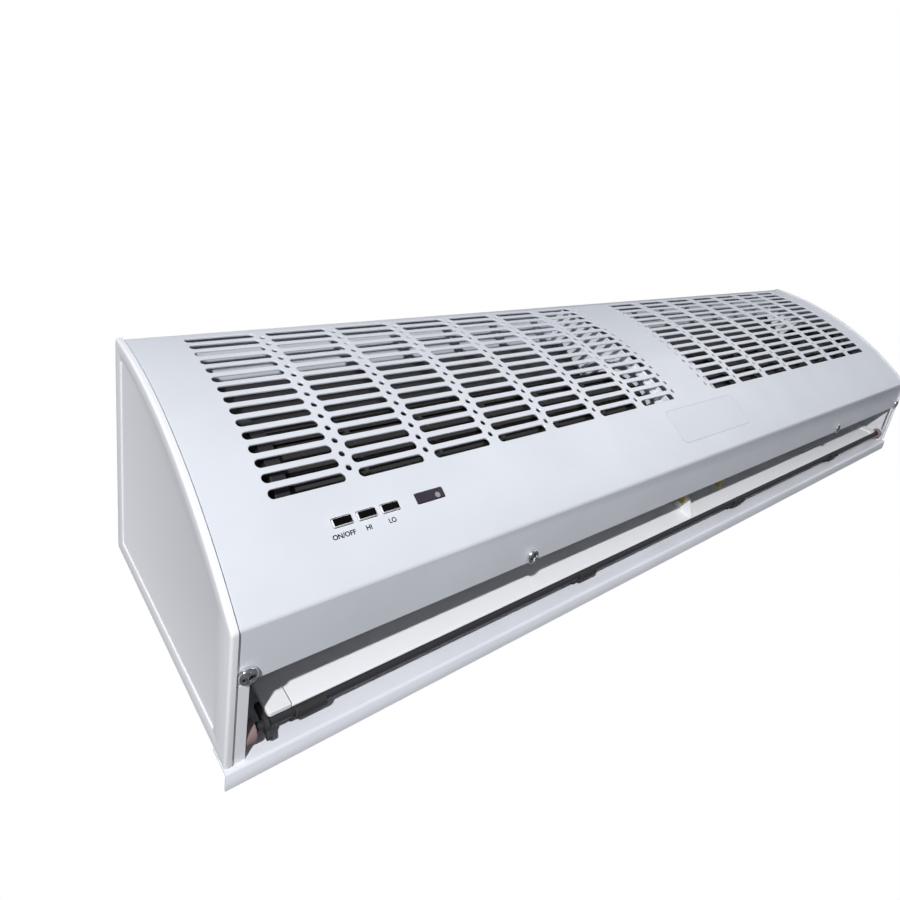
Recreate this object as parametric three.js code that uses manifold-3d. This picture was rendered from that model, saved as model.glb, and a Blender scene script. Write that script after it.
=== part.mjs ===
// A wall-hung air curtain, 900 mm long, modelled as installed: the wall is the plane y = 0, the
// front points to -Y, the outlet points down, and x = 0 is the middle of its length. The origin
// lies on the wall face, at the middle of the wall plate.
//
// A section across the unit is drawn in two sizes: depth, measured forward from the wall, and
// height, measured up from the outlet plane.

import * as THREE from 'three';
import { mergeVertices } from 'three/addons/utils/BufferGeometryUtils.js';
import Module from 'manifold-3d';

const wasm = await Module();
wasm.setup();

// ---------------------------------------------------------------- driving dimensions (mm, degrees)

// Casing
const UNIT_LENGTH = 900;
const CASE_HEIGHT = 196;
const CASE_TOP_DEPTH = 166;
const CASE_FOOT_DEPTH = 93.3;
const ARCH_RADIUS = 328.6;
const SHEET = 1.2;
const GAP = 0.3;
const FLANGE_DEPTH = 32.3;

// Grille: rows across the arch, columns along the unit, with a plain band in the middle column
const SLOT_COLUMN_PITCH = 55.5;
const SLOT_ROW_PITCH = 10;
const SLOT_LENGTH = 46.5;
const SLOT_WIDTH = 6;
const GRILLE_TOP_MARGIN = 12.3;
const GRILLE_END_MARGIN = 30;
const GRILLE_TO_CONTROLS = 24;

// End caps
const CAP_PLATE = 4;
const CAP_PROUD = 1.2;
const CAP_SKIRT_LENGTH = 7;
const CAP_SKIRT_WALL = 2;
const PANEL_RECESS = 0.9;
const PANEL_CORE = 1.8;
const PANEL_MARGIN = { base: 11, foot: 15, arch: 8, top: 11 };

// Back pan and wall plate
const PAN_STANDOFF = 11;
const PAN_SIDE_RECESS = 7;
const PAN_LIP = 3.5;
const LIP_INNER_REACH = 14;
const WALL_PLATE_END_INSET = 100;
const WALL_PLATE_HALF_HEIGHT = 58;
const WALL_PLATE_FLANGE_INSET = 8;
const WALL_SLOT = { length: 22, width: 7, inset: 50, rise: 36 };

// Rotor
const ROTOR_DEPTH = 83;
const ROTOR_HEIGHT = 100;
const IMPELLER_RADIUS = 46;
const IMPELLER_BORE_RADIUS = 33;
const IMPELLER_BLADES = 16;
const BLADE_THICKNESS = 1.4;
const BLADE_SWEEP = 24;
const BLADE_EDGE_MARGIN = 1;
const IMPELLER_DISC = 2.5;
const SHAFT_RADIUS = 4;
const SHAFT_CLEARANCE = 0.35;
const HUB_RADIUS = 11;
const HUB_LENGTH = 12;
const HUB_PROUD = 2;
const IMPELLER_RINGS = 1;
const STUB_BOSS_RADIUS = 9;
const STUB_BOSS_LENGTH = 8;
const STUB_LENGTH = 22;
const STUB_PROUD = 2;

// Scroll housing
const SCROLL_START_ANGLE = 60;
const SCROLL_START_RADIUS = 53;
const SCROLL_BACK_MARGIN = 4;
const SCROLL_TAIL_HEIGHT = 52;
const SCROLL_TOP_FLANGE = { depth: 134, drop: 16 };
const TONGUE_ANGLE = -60;
const TONGUE_CLEARANCE = 4;
const TONGUE_KNEE = [{ depth: 95, height: 44 }, { depth: 73, height: 25 }];
const TONGUE_STEP = 3.6;
const TONGUE_FOOT = 13;
const OUTER_PLATE_INSET = 47;
const INNER_PLATE_X = 38.5;
const END_PLATE = 1.5;
const END_PLATE_RADIUS = 57;
const END_PLATE_RIM = 9;
const END_PLATE_RIM_DEPTH = 36;
const END_PLATE_FOOT = 12;
const END_PLATE_WEB_HEIGHT = 85.5;
const IMPELLER_END_GAP = 5;

// Motor
const MOTOR_RADIUS = 42;
const MOTOR_HALF_LENGTH = 27;
const MOTOR_END_RADIUS = 33.6;
const MOTOR_SHOULDER_X = 18.9;
const MOTOR_BOSS_RADIUS = 14;
const MOTOR_BOSS_LENGTH = 8;
const MOTOR_RING_WALL = 4;
const BRACKET_SHEET = 2;
const BRACKET_HALF_SPAN = 33;
const BRACKET_HALF_HEIGHT = 34;
const BRACKET_NOSE = 8;
const BRACKET_LEG = { depth: 36, height: 13, width: 11, topWidth: 15, lean: 16 };

// Shaft bearings in the outer end plates
const BEARING_RUBBER_RADIUS = 15;
const BEARING_RUBBER_LENGTH = 9;
const BEARING_BUSH_RADIUS = 8;

// Outlet vane
const VANE_DEPTH = 21;
const VANE_HEIGHT = 6;
const VANE_ROD_RADIUS = 2.6;
const VANE_SHEET = 1.4;
const VANE_REACH = 39;
const VANE_LEAN = 5;
const VANE_STANDOFF = 0.4;
const VANE_END_INSET = 38;
const VANE_FOOT_DROP = 0.2;
const VANE_PLUG_LENGTH = 13;
const VANE_PLUG_THICKNESS = 2.8;
const VANE_TAB = { x: -23.5, thickness: 3, height: 20, tipLow: 8, tipHigh: 11, reach: 15 };
const VANE_LEVER = { thickness: 2.4, hub: 4.4, width: 4, arm: 12, armAngle: 12, toe: 8, toeAngle: 215 };
const VANE_BUSH_RADIUS = 5.8;
const VANE_BUSH_LENGTH = 6;
const CLIP_LENGTH = 18;
const CLIP_WALL = 1.8;
const CLIP_PITCH = 230;
const CLIP_END_INSET = 48;
const CLIP_MOUTH = { from: 325, to: 100 };
const CLIP_FOOT = { low: 1.5, high: 9, bite: 1.3 };

// Controls
const CONTROL_ARC_FROM_FOOT = 35.5;
const CONTROL_FACET = 20;
const BUTTON = { length: 12.2, width: 5.2, proud: 1, depth: 7, flange: 1.2, ledge: 1.1, travel: 1.5 };
const BUTTON_CLEARANCE = 0.4;
const BUTTON_NAMES = ['power_button', 'high_speed_button', 'low_speed_button'];
const BUTTON_PITCH = 15.45;
const FIRST_BUTTON_INSET = 71.5;
const RECEIVER = { inset: 131, length: 20.5, width: 6.5, ledge: 1.2 };
const HOLDER = { inset: 58, length: 90, height: 22, wall: 1.6, depth: 9 };
const BOARD_THICKNESS = 1.6;
const SWITCH_SIDE = 5;

// Fasteners and electrical parts
const SCREW_INSETS = [9.1, 201.3];
const SCREW_EDGE_MARGIN = 5.5;
const SCREW_HOLE_LENGTH = 12;
const SCREW_HEAD = { radius: 4.9, height: 2.6, crownRadius: 2.45, shoulderRadius: 4.2, shoulderDrop: 0.9 };
const SCREW_SHANK_RADIUS = 2;
const SCREW_LENGTH = 9;
const SCREW_TIP = 2;
const GROMMET = { inset: 30, height: 150, radius: 9, bore: 4.5, wall: 2.5 };
const CAPACITOR = { inset: 30, height: 76, length: 20, width: 46, depth: 32 };
const CAPACITOR_EAR = { width: 8, thickness: 2, reach: 10 };
const CAPACITOR_TAB = { width: 6, thickness: 1, length: 7, spread: 12 };
const TERMINALS = { inset: 30, height: 120, length: 18, width: 52, depth: 16, seat: 9.6, rib: 2, poles: 4 };
const TERMINAL_SCREW = { radius: 2.6, proud: 2.5, sunk: 0.5 };

// ---------------------------------------------------------------- derived sizes

const HALF_LENGTH = UNIT_LENGTH / 2;
const COVER_HALF_LENGTH = HALF_LENGTH - CAP_PLATE;
const CAP_SKIRT_X = COVER_HALF_LENGTH - CAP_SKIRT_LENGTH;
const PAN_HALF_LENGTH = HALF_LENGTH - PAN_SIDE_RECESS;
const MOUNT_HEIGHT = CASE_HEIGHT / 2;
const WALL_PLATE_HALF_LENGTH = HALF_LENGTH - WALL_PLATE_END_INSET;
const OUTER_PLATE_X = HALF_LENGTH - OUTER_PLATE_INSET;
const VANE_END_X = HALF_LENGTH - VANE_END_INSET;
const FLANGE_EDGE_DEPTH = CASE_FOOT_DEPTH - FLANGE_DEPTH;
const SCREW_DEPTH = FLANGE_EDGE_DEPTH + SCREW_EDGE_MARGIN;
const SCREW_X = [-1, 1].flatMap((side) => SCREW_INSETS.map((inset) => side * (HALF_LENGTH - inset)));
const FIRST_BUTTON_X = -HALF_LENGTH + FIRST_BUTTON_INSET;
const BUTTONS = BUTTON_NAMES.map((name, i) => ({ name, x: FIRST_BUTTON_X + i * BUTTON_PITCH }));
const RECEIVER_X = -HALF_LENGTH + RECEIVER.inset;
const HOLDER_MIDDLE = -HALF_LENGTH + HOLDER.inset + HOLDER.length / 2;
const CLIP_COUNT = 1 + Math.floor((2 * (HALF_LENGTH - CLIP_END_INSET)) / CLIP_PITCH);
const IMPELLER_INNER_X = INNER_PLATE_X + END_PLATE + IMPELLER_END_GAP;
const IMPELLER_OUTER_X = OUTER_PLATE_X - IMPELLER_END_GAP;
const SCROLL_BACK_RADIUS = ROTOR_DEPTH - PAN_STANDOFF - SCROLL_BACK_MARGIN;
const VANE_BACK = VANE_ROD_RADIUS + VANE_STANDOFF;

const RAD = Math.PI / 180;

// How far a cutter runs past what it cuts, and the share of a slot's half width that its ends taper over
const OVERRUN = 1;
const SLOT_END_TAPER = 0.6;

// ---------------------------------------------------------------- materials

const plain = (color, roughness, metalness) =>
  new THREE.MeshStandardMaterial({ color, roughness, metalness });

const FINISH = {
  whitePaint: plain(0xe6ecf6, 0.35, 0),
  whitePlastic: plain(0xdde2ec, 0.4, 0),
  whiteVane: plain(0xf0f3fc, 0.2, 0),
  blackPlastic: plain(0x151517, 0.45, 0),
  blackPaint: plain(0x1a1b1d, 0.5, 0),
  blackRod: plain(0x1c1c1f, 0.35, 0.2),
  galvanised: plain(0xb4b9bd, 0.45, 0.8),
  yellowZinc: plain(0xa88f2a, 0.35, 0.9),
  motorSteel: plain(0x8c9094, 0.5, 0.7),
  brightSteel: plain(0xc9ccd0, 0.25, 1),
  bronze: plain(0x8a6a3c, 0.4, 0.9),
  rubber: plain(0x1d1d1f, 0.8, 0),
  brownRubber: plain(0x4a3434, 0.7, 0),
  darkWindow: plain(0x0d0b12, 0.15, 0),
  circuitBoard: plain(0x2f6b45, 0.5, 0),
};

// ---------------------------------------------------------------- solids and booleans

/** A closed geometry as a solid that can be cut and joined. */
function toSolid(geometry) {
  const bare = geometry.index ? geometry.toNonIndexed() : geometry.clone();
  for (const name of Object.keys(bare.attributes)) {
    if (name !== 'position') bare.deleteAttribute(name);
  }
  const merged = mergeVertices(bare, 1e-4);
  return new wasm.Manifold(new wasm.Mesh({
    numProp: 3,
    vertProperties: new Float32Array(merged.attributes.position.array),
    triVerts: new Uint32Array(merged.index.array),
  }));
}

/** A solid back as a geometry. */
function toGeometry(solid) {
  const mesh = solid.getMesh();
  const geometry = new THREE.BufferGeometry();
  geometry.setAttribute('position', new THREE.BufferAttribute(new Float32Array(mesh.vertProperties), 3));
  geometry.setIndex(new THREE.BufferAttribute(new Uint32Array(mesh.triVerts), 1));
  return geometry;
}

const join = (geometries) => wasm.Manifold.union(geometries.map(toSolid));
const joined = (...geometries) => toGeometry(join(geometries));
const cut = (body, ...cutters) => toGeometry(toSolid(body).subtract(join(cutters)));

/** A named mesh at a place in its group. */
function piece(name, geometry, material, position = [0, 0, 0], rotation = [0, 0, 0]) {
  const mesh = new THREE.Mesh(geometry, material);
  mesh.name = name;
  mesh.position.set(...position);
  mesh.rotation.set(...rotation);
  return mesh;
}

// ---------------------------------------------------------------- sections and outlines

/** A section point: depth forward from the wall, height above the outlet plane. */
const at = (depth, height) => new THREE.Vector2(-depth, height);

/** Points of an arc about a section point, angles from the front (0) through the top (90). */
function arc(depth, height, startRadius, endRadius, startAngle, endAngle, steps) {
  return Array.from({ length: steps + 1 }, (_, i) => {
    const share = i / steps;
    const angle = (startAngle + (endAngle - startAngle) * share) * RAD;
    const radius = startRadius + (endRadius - startRadius) * share;
    return at(depth + radius * Math.cos(angle), height + radius * Math.sin(angle));
  });
}

/** Extrude a section outline along X from one station to another. */
function extrudeAlong(outline, xLow, xHigh, holes = []) {
  const shape = new THREE.Shape(outline);
  shape.holes = holes.map((points) => new THREE.Path(points));
  const geometry = new THREE.ExtrudeGeometry(shape, { depth: xHigh - xLow, bevelEnabled: false });
  const basis = new THREE.Matrix4().makeBasis(
    new THREE.Vector3(0, 1, 0), new THREE.Vector3(0, 0, 1), new THREE.Vector3(1, 0, 0));
  return geometry.applyMatrix4(basis).translate(xLow, 0, 0);
}

/** Move each point of a line sideways; a closed line's ends meet. Positive is to the left. */
function offsetLine(points, distance, closed = false) {
  const count = points.length;
  const normal = (a, b) => {
    const along = b.clone().sub(a).normalize();
    return new THREE.Vector2(-along.y, along.x);
  };
  return points.map((point, i) => {
    const before = closed ? points[(i + count - 1) % count] : points[i - 1];
    const after = closed ? points[(i + 1) % count] : points[i + 1];
    const first = before ? normal(before, point) : normal(point, after);
    const second = after ? normal(point, after) : first;
    const middle = first.clone().add(second);
    return point.clone().add(middle.multiplyScalar((2 * distance) / middle.lengthSq()));
  });
}

/** The outline of bent sheet metal that follows a line, with its thickness to one side. */
const sheetOutline = (line, thickness) => [...line, ...offsetLine(line, thickness).reverse()];

const box = (x, y, z, dx, dy, dz) => new THREE.BoxGeometry(dx, dy, dz).translate(x, y, z);

/** A box given by its low and high x, depth and height. */
function blockBetween(x, depth, height) {
  return box(
    (x[0] + x[1]) / 2, -(depth[0] + depth[1]) / 2, (height[0] + height[1]) / 2,
    x[1] - x[0], depth[1] - depth[0], height[1] - height[0]);
}

/** A cylinder along X between two stations, centred on y = z = 0. */
function rod(radius, xLow, xHigh, sides = 16) {
  return new THREE.CylinderGeometry(radius, radius, xHigh - xLow, sides)
    .rotateZ(-Math.PI / 2).translate((xLow + xHigh) / 2, 0, 0);
}

/** A slot with pointed ends, as a prism along local Z. */
function slotPrism(length, width, depth) {
  const end = length / 2;
  const side = width / 2;
  const shoulder = end - side * SLOT_END_TAPER;
  const half = [[-end, 0], [-shoulder, -side], [shoulder, -side]];
  const outline = [...half, ...half.map(([x, y]) => [-x, -y])];
  const shape = new THREE.Shape(outline.map((point) => new THREE.Vector2(...point)));
  return new THREE.ExtrudeGeometry(shape, { depth, bevelEnabled: false }).translate(0, 0, -depth / 2);
}

/** A span along X on the left (side -1) or right (side 1) half, and the word for that side. */
const leftRight = (side, low, high) => (side < 0 ? [-high, -low] : [low, high]);
const sideName = (side) => (side < 0 ? 'left' : 'right');

// ---------------------------------------------------------------- the arch of the cover

/** The circle through the cover's top edge and foot edge, and arc lengths measured down it. */
const ARCH = (() => {
  const top = new THREE.Vector2(CASE_TOP_DEPTH, CASE_HEIGHT);
  const foot = new THREE.Vector2(CASE_FOOT_DEPTH, 0);
  const middle = top.clone().add(foot).multiplyScalar(0.5);
  const chord = top.clone().sub(foot);
  const inward = new THREE.Vector2(-chord.y, chord.x).normalize();
  const drop = Math.sqrt(ARCH_RADIUS ** 2 - chord.lengthSq() / 4);
  const centre = middle.clone().addScaledVector(inward, drop);
  const topAngle = Math.atan2(top.y - centre.y, top.x - centre.x);
  const footAngle = Math.atan2(foot.y - centre.y, foot.x - centre.x);
  const length = (topAngle - footAngle) * ARCH_RADIUS;
  const angleAt = (arcLength) => topAngle - arcLength / ARCH_RADIUS;
  const pointAt = (arcLength, lift = 0) => {
    const angle = angleAt(arcLength);
    const radius = ARCH_RADIUS + lift;
    return { depth: centre.x + radius * Math.cos(angle), height: centre.y + radius * Math.sin(angle) };
  };
  return { length, angleAt, pointAt };
})();

const CONTROL_ARC = ARCH.length - CONTROL_ARC_FROM_FOOT;
const SLOT_ROWS = 1 + Math.floor((CONTROL_ARC - GRILLE_TO_CONTROLS - GRILLE_TOP_MARGIN) / SLOT_ROW_PITCH);
const LAST_COLUMN_X = COVER_HALF_LENGTH - GRILLE_END_MARGIN - SLOT_LENGTH / 2;
const SIDE_COLUMNS = Math.floor(LAST_COLUMN_X / SLOT_COLUMN_PITCH);
const rowArc = (row) => GRILLE_TOP_MARGIN + row * SLOT_ROW_PITCH;

/** Arc lengths at which the faceted arch bends: each slot row and the controls lie on a flat. */
const ARCH_STOPS = [
  0,
  ...Array.from({ length: SLOT_ROWS + 1 }, (_, i) => rowArc(i - 0.5)),
  CONTROL_ARC - CONTROL_FACET / 2,
  CONTROL_ARC + CONTROL_FACET / 2,
  ARCH.length - (CONTROL_ARC_FROM_FOOT - CONTROL_FACET / 2) / 2,
  ARCH.length,
];

/** The arch's bends as section points from the top edge to the foot edge. */
const archLine = (lift = 0) => ARCH_STOPS.map((stop) => {
  const point = ARCH.pointAt(stop, lift);
  return at(point.depth, point.height);
});

/** Place something on the arch, its local Z along the outward normal and local Y up the arch. */
function placeOnArch(object, x, arcLength, lift = 0) {
  const point = ARCH.pointAt(arcLength, lift);
  object.position.set(x, -point.depth, point.height);
  object.rotation.x = Math.PI / 2 - ARCH.angleAt(arcLength);
  return object;
}

/** The same for a cutter, as a geometry. */
function cutterOnArch(geometry, x, arcLength) {
  const holder = placeOnArch(new THREE.Object3D(), x, arcLength);
  holder.updateMatrix();
  return geometry.applyMatrix4(holder.matrix);
}

// ---------------------------------------------------------------- casing

/** The cover: one bent sheet from the wall over the top, down the grille and round to the outlet. */
function frontCover() {
  const line = [
    at(GAP, CASE_HEIGHT),
    ...archLine(),
    at(FLANGE_EDGE_DEPTH, 0),
  ];
  const shell = extrudeAlong(sheetOutline(line, SHEET), -COVER_HALF_LENGTH, COVER_HALF_LENGTH);
  const cutters = [];
  for (let column = -SIDE_COLUMNS; column <= SIDE_COLUMNS; column += 1) {
    if (column === 0) continue;
    for (let row = 0; row < SLOT_ROWS; row += 1) {
      const prism = slotPrism(SLOT_LENGTH, SLOT_WIDTH, 4 * SHEET);
      cutters.push(cutterOnArch(prism, column * SLOT_COLUMN_PITCH, rowArc(row)));
    }
  }
  for (const { x } of BUTTONS) {
    cutters.push(cutterOnArch(buttonWindow(4 * SHEET), x, CONTROL_ARC));
  }
  const receiverWindow = box(0, 0, 0, RECEIVER.length + 2 * GAP, RECEIVER.width + 2 * GAP, 4 * SHEET);
  cutters.push(cutterOnArch(receiverWindow, RECEIVER_X, CONTROL_ARC));
  for (const x of SCREW_X) {
    cutters.push(screwHole(x));
  }
  return piece('front_cover', cut(shell, ...cutters), FINISH.whitePaint);
}

/** A push button's window with its clearance, as a cutter centred on its place. */
const buttonWindow = (depth) =>
  box(0, 0, 0, BUTTON.length + 2 * BUTTON_CLEARANCE, BUTTON.width + 2 * BUTTON_CLEARANCE, depth);

/** A clearance hole for a cover screw, through what lies at the foot of the unit. */
function screwHole(x) {
  return new THREE.CylinderGeometry(SCREW_SHANK_RADIUS + GAP, SCREW_SHANK_RADIUS + GAP, SCREW_HOLE_LENGTH, 12)
    .rotateX(Math.PI / 2).translate(x, -SCREW_DEPTH, 0);
}

/** A cap's outline at some distance outside (positive) the cover's skin, standing on the pan. */
function capOutline(lift) {
  const base = PAN_STANDOFF + GAP;
  return [
    at(base, CASE_HEIGHT + lift),
    ...archLine(lift),
    at(base, -lift),
  ];
}

/** The cap's skirt lies inside the cover, and comes flush with it where the outlet leaves it bare. */
function skirtOutline(inset) {
  const under = SHEET + GAP + inset;
  const base = PAN_STANDOFF + GAP;
  const step = FLANGE_EDGE_DEPTH - GAP - inset;
  const arch = ARCH_STOPS.slice(1, -1).map((stop) => ARCH.pointAt(stop, -under));
  return [
    at(base, CASE_HEIGHT - under),
    at(ARCH.pointAt(0, -under).depth, CASE_HEIGHT - under),
    ...arch.map(({ depth, height }) => at(depth, height)),
    at(ARCH.pointAt(ARCH.length, -under).depth + under / 2, under),
    at(step, under),
    at(step, inset),
    at(base, inset),
  ];
}

/** The flat panel inside the cap's raised rim. */
function panelOutline() {
  const edge = ARCH_STOPS.map((stop) => ARCH.pointAt(stop, -PANEL_MARGIN.arch))
    .filter(({ height }) => height > PANEL_MARGIN.foot && height < CASE_HEIGHT - PANEL_MARGIN.top);
  const first = edge[0];
  const last = edge[edge.length - 1];
  const base = PAN_STANDOFF + PANEL_MARGIN.base;
  const slope = ARCH.angleAt(ARCH.length);
  return [
    at(base, CASE_HEIGHT - PANEL_MARGIN.top),
    at(first.depth, CASE_HEIGHT - PANEL_MARGIN.top),
    ...edge.map(({ depth, height }) => at(depth, height)),
    at(last.depth + (last.height - PANEL_MARGIN.foot) * Math.tan(slope), PANEL_MARGIN.foot),
    at(base, PANEL_MARGIN.foot),
  ];
}

/** A moulded cap: a plate with a sunk panel, a skirt inside the cover and a boss for the vane's bush. */
function endCap(side) {
  const span = (low, high) => leftRight(side, low, high);
  const plate = extrudeAlong(capOutline(CAP_PROUD), ...span(COVER_HALF_LENGTH + GAP, HALF_LENGTH));
  const skirt = cut(
    extrudeAlong(skirtOutline(0), ...span(CAP_SKIRT_X, COVER_HALF_LENGTH + 2 * GAP)),
    extrudeAlong(skirtOutline(CAP_SKIRT_WALL), ...span(CAP_SKIRT_X - OVERRUN, HALF_LENGTH)));
  const pocketDepth = CAP_PLATE - PANEL_RECESS - PANEL_CORE;
  const pockets = [
    extrudeAlong(panelOutline(), ...span(HALF_LENGTH - PANEL_RECESS, HALF_LENGTH + OVERRUN)),
    extrudeAlong(panelOutline(), ...span(COVER_HALF_LENGTH - OVERRUN, COVER_HALF_LENGTH + pocketDepth)),
  ];
  const boss = rod(VANE_BUSH_RADIUS, ...span(CAP_SKIRT_X, COVER_HALF_LENGTH + pocketDepth + GAP))
    .translate(0, -VANE_DEPTH, VANE_HEIGHT);
  const shell = toSolid(plate).add(toSolid(skirt)).subtract(join(pockets)).add(toSolid(boss));
  const drilled = shell.subtract(toSolid(screwHole(side * (HALF_LENGTH - SCREW_INSETS[0]))));
  return piece(`${sideName(side)}_end_cap`, toGeometry(drilled), FINISH.whitePlastic);
}

/** The pan: a tray open to the wall, with a lip along the outlet's back edge. */
function backPan() {
  const top = CASE_HEIGHT - SHEET - GAP;
  const body = [at(0, -PAN_LIP), at(PAN_STANDOFF, -PAN_LIP), at(PAN_STANDOFF, top), at(0, top)];
  const lip = [at(0, -PAN_LIP), at(PAN_STANDOFF, -PAN_LIP), at(PAN_STANDOFF, LIP_INNER_REACH)];
  const sideHem = (side) => blockBetween(
    side < 0 ? [-PAN_HALF_LENGTH, -PAN_HALF_LENGTH + SHEET] : [PAN_HALF_LENGTH - SHEET, PAN_HALF_LENGTH],
    [0, PAN_STANDOFF - SHEET / 2], [-PAN_LIP + SHEET / 2, top - SHEET / 2]);
  const pan = join([
    extrudeAlong(sheetOutline(body, -SHEET), -PAN_HALF_LENGTH, PAN_HALF_LENGTH),
    extrudeAlong(sheetOutline(lip, -SHEET), -HALF_LENGTH, HALF_LENGTH),
    sideHem(-1), sideHem(1),
  ]);
  const cableHole = new THREE.CylinderGeometry(GROMMET.radius, GROMMET.radius, 4 * SHEET, 16)
    .translate(HALF_LENGTH - GROMMET.inset, -PAN_STANDOFF + SHEET / 2, GROMMET.height);
  return piece('back_pan', toGeometry(pan.subtract(toSolid(cableHole))), FINISH.whitePaint);
}

/** The plate that is screwed to the wall first; its turned edges carry the pan. */
function wallPlate() {
  const reach = PAN_STANDOFF - SHEET - GAP;
  const low = MOUNT_HEIGHT - WALL_PLATE_HALF_HEIGHT;
  const high = MOUNT_HEIGHT + WALL_PLATE_HALF_HEIGHT;
  const line = [
    at(reach, low), at(0, low), at(0, high), at(reach, high), at(reach, high - WALL_PLATE_FLANGE_INSET),
  ];
  const plate = extrudeAlong(sheetOutline(line, SHEET), -WALL_PLATE_HALF_LENGTH, WALL_PLATE_HALF_LENGTH);
  const slots = [];
  const slotX = WALL_PLATE_HALF_LENGTH - WALL_SLOT.inset;
  for (const x of [-slotX, 0, slotX]) {
    for (const rise of [-WALL_SLOT.rise, WALL_SLOT.rise]) {
      slots.push(slotPrism(WALL_SLOT.length, WALL_SLOT.width, 6 * SHEET)
        .rotateX(Math.PI / 2).translate(x, 0, MOUNT_HEIGHT + rise));
    }
  }
  return piece('wall_plate', cut(plate, ...slots), FINISH.galvanised);
}

/** A pan-head screw, driven up through the flange. */
function coverScrew(x, index) {
  const { radius, height, crownRadius, shoulderRadius, shoulderDrop } = SCREW_HEAD;
  const profile = [
    [0, 0], [crownRadius, 0], [shoulderRadius, shoulderDrop], [radius, height], [SCREW_SHANK_RADIUS, height],
    [SCREW_SHANK_RADIUS, height + SCREW_LENGTH - SCREW_TIP], [0, height + SCREW_LENGTH],
  ].map((point) => new THREE.Vector2(...point));
  const geometry = new THREE.LatheGeometry(profile, 14).rotateX(Math.PI / 2);
  return piece(`cover_screw_${index + 1}`, geometry, FINISH.brightSteel, [x, -SCREW_DEPTH, -height - GAP]);
}

// ---------------------------------------------------------------- scroll housing

const scrollRadius = (angle) => {
  const share = (angle - SCROLL_START_ANGLE) / (180 - SCROLL_START_ANGLE);
  return SCROLL_START_RADIUS + (SCROLL_BACK_RADIUS - SCROLL_START_RADIUS) * share;
};

/** The rear guide: a sheet that opens from the top round the back and runs down to the vane. */
function scroll(side) {
  const spiral = arc(ROTOR_DEPTH, ROTOR_HEIGHT, scrollRadius(SCROLL_START_ANGLE), scrollRadius(180),
    SCROLL_START_ANGLE, 180, 12);
  const line = [
    at(SCROLL_TOP_FLANGE.depth, CASE_HEIGHT - SCROLL_TOP_FLANGE.drop),
    ...spiral,
    at(ROTOR_DEPTH - SCROLL_BACK_RADIUS, SCROLL_TAIL_HEIGHT),
  ];
  const span = leftRight(side, INNER_PLATE_X + END_PLATE + GAP, OUTER_PLATE_X - GAP);
  const sheet = extrudeAlong(sheetOutline(line, SHEET), ...span);
  return piece(`${sideName(side)}_scroll`, sheet, FINISH.blackPaint);
}

/** The vortex tongue: from close to the impeller down to the outlet's front edge and its foot. */
function tongue(side) {
  const nose = IMPELLER_RADIUS + TONGUE_CLEARANCE;
  const angle = TONGUE_ANGLE * RAD;
  const seat = SHEET + GAP;
  const line = [
    at(ROTOR_DEPTH + nose * Math.cos(angle), ROTOR_HEIGHT + nose * Math.sin(angle)),
    ...TONGUE_KNEE.map(({ depth, height }) => at(depth, height)),
    at(FLANGE_EDGE_DEPTH + GAP, seat + TONGUE_STEP),
    at(FLANGE_EDGE_DEPTH + GAP, seat),
    at(FLANGE_EDGE_DEPTH + TONGUE_FOOT, seat),
  ];
  const span = leftRight(side, INNER_PLATE_X + END_PLATE + GAP, OUTER_PLATE_X - GAP);
  const sheet = extrudeAlong(sheetOutline(line, -SHEET), ...span);
  const drilled = cut(sheet, screwHole(side * (HALF_LENGTH - SCREW_INSETS[1])));
  return piece(`${sideName(side)}_tongue`, drilled, FINISH.whitePaint);
}

/** A round end plate on a footed web, with the front of its edge turned towards the impeller. */
function endPlate(side, inner) {
  const face = inner ? INNER_PLATE_X : OUTER_PLATE_X;
  const plateSpan = leftRight(side, face, face + END_PLATE);
  const turned = (reach) => (inner
    ? leftRight(side, face, face + reach)
    : leftRight(side, face + END_PLATE - reach, face + END_PLATE));
  const rim = toSolid(rod(END_PLATE_RADIUS, ...turned(END_PLATE_RIM), 32))
    .subtract(toSolid(rod(END_PLATE_RADIUS - END_PLATE, -UNIT_LENGTH, UNIT_LENGTH, 32)))
    .intersect(toSolid(box(0, -END_PLATE_RIM_DEPTH - END_PLATE_RADIUS, 0,
      2 * UNIT_LENGTH, 2 * END_PLATE_RADIUS, 2 * END_PLATE_RADIUS)));
  const back = ROTOR_DEPTH - PAN_STANDOFF - GAP;
  const middle = (span) => (span[0] + span[1]) / 2;
  const web = box(middle(plateSpan), back / 2, 0, END_PLATE, back, END_PLATE_WEB_HEIGHT);
  const footSpan = turned(END_PLATE_FOOT);
  const foot = box(middle(footSpan), back - END_PLATE / 2, 0,
    END_PLATE_FOOT, END_PLATE, END_PLATE_WEB_HEIGHT);
  const hole = rod((inner ? MOTOR_BOSS_RADIUS : BEARING_RUBBER_RADIUS) + GAP, -UNIT_LENGTH, UNIT_LENGTH);
  const plate = join([rod(END_PLATE_RADIUS, ...plateSpan, 32), web, foot]).add(rim).subtract(toSolid(hole));
  return piece(`${sideName(side)}_${inner ? 'inner' : 'outer'}_plate`, toGeometry(plate),
    inner ? FINISH.whitePaint : FINISH.blackPaint, [0, -ROTOR_DEPTH, ROTOR_HEIGHT]);
}

/** A ring along X: a bush, a rubber or a disc with a hole. */
const ring = (outer, inner, xLow, xHigh, sides = 16) =>
  cut(rod(outer, xLow, xHigh, sides), rod(inner, xLow - OVERRUN, xHigh + OVERRUN, sides));

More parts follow.
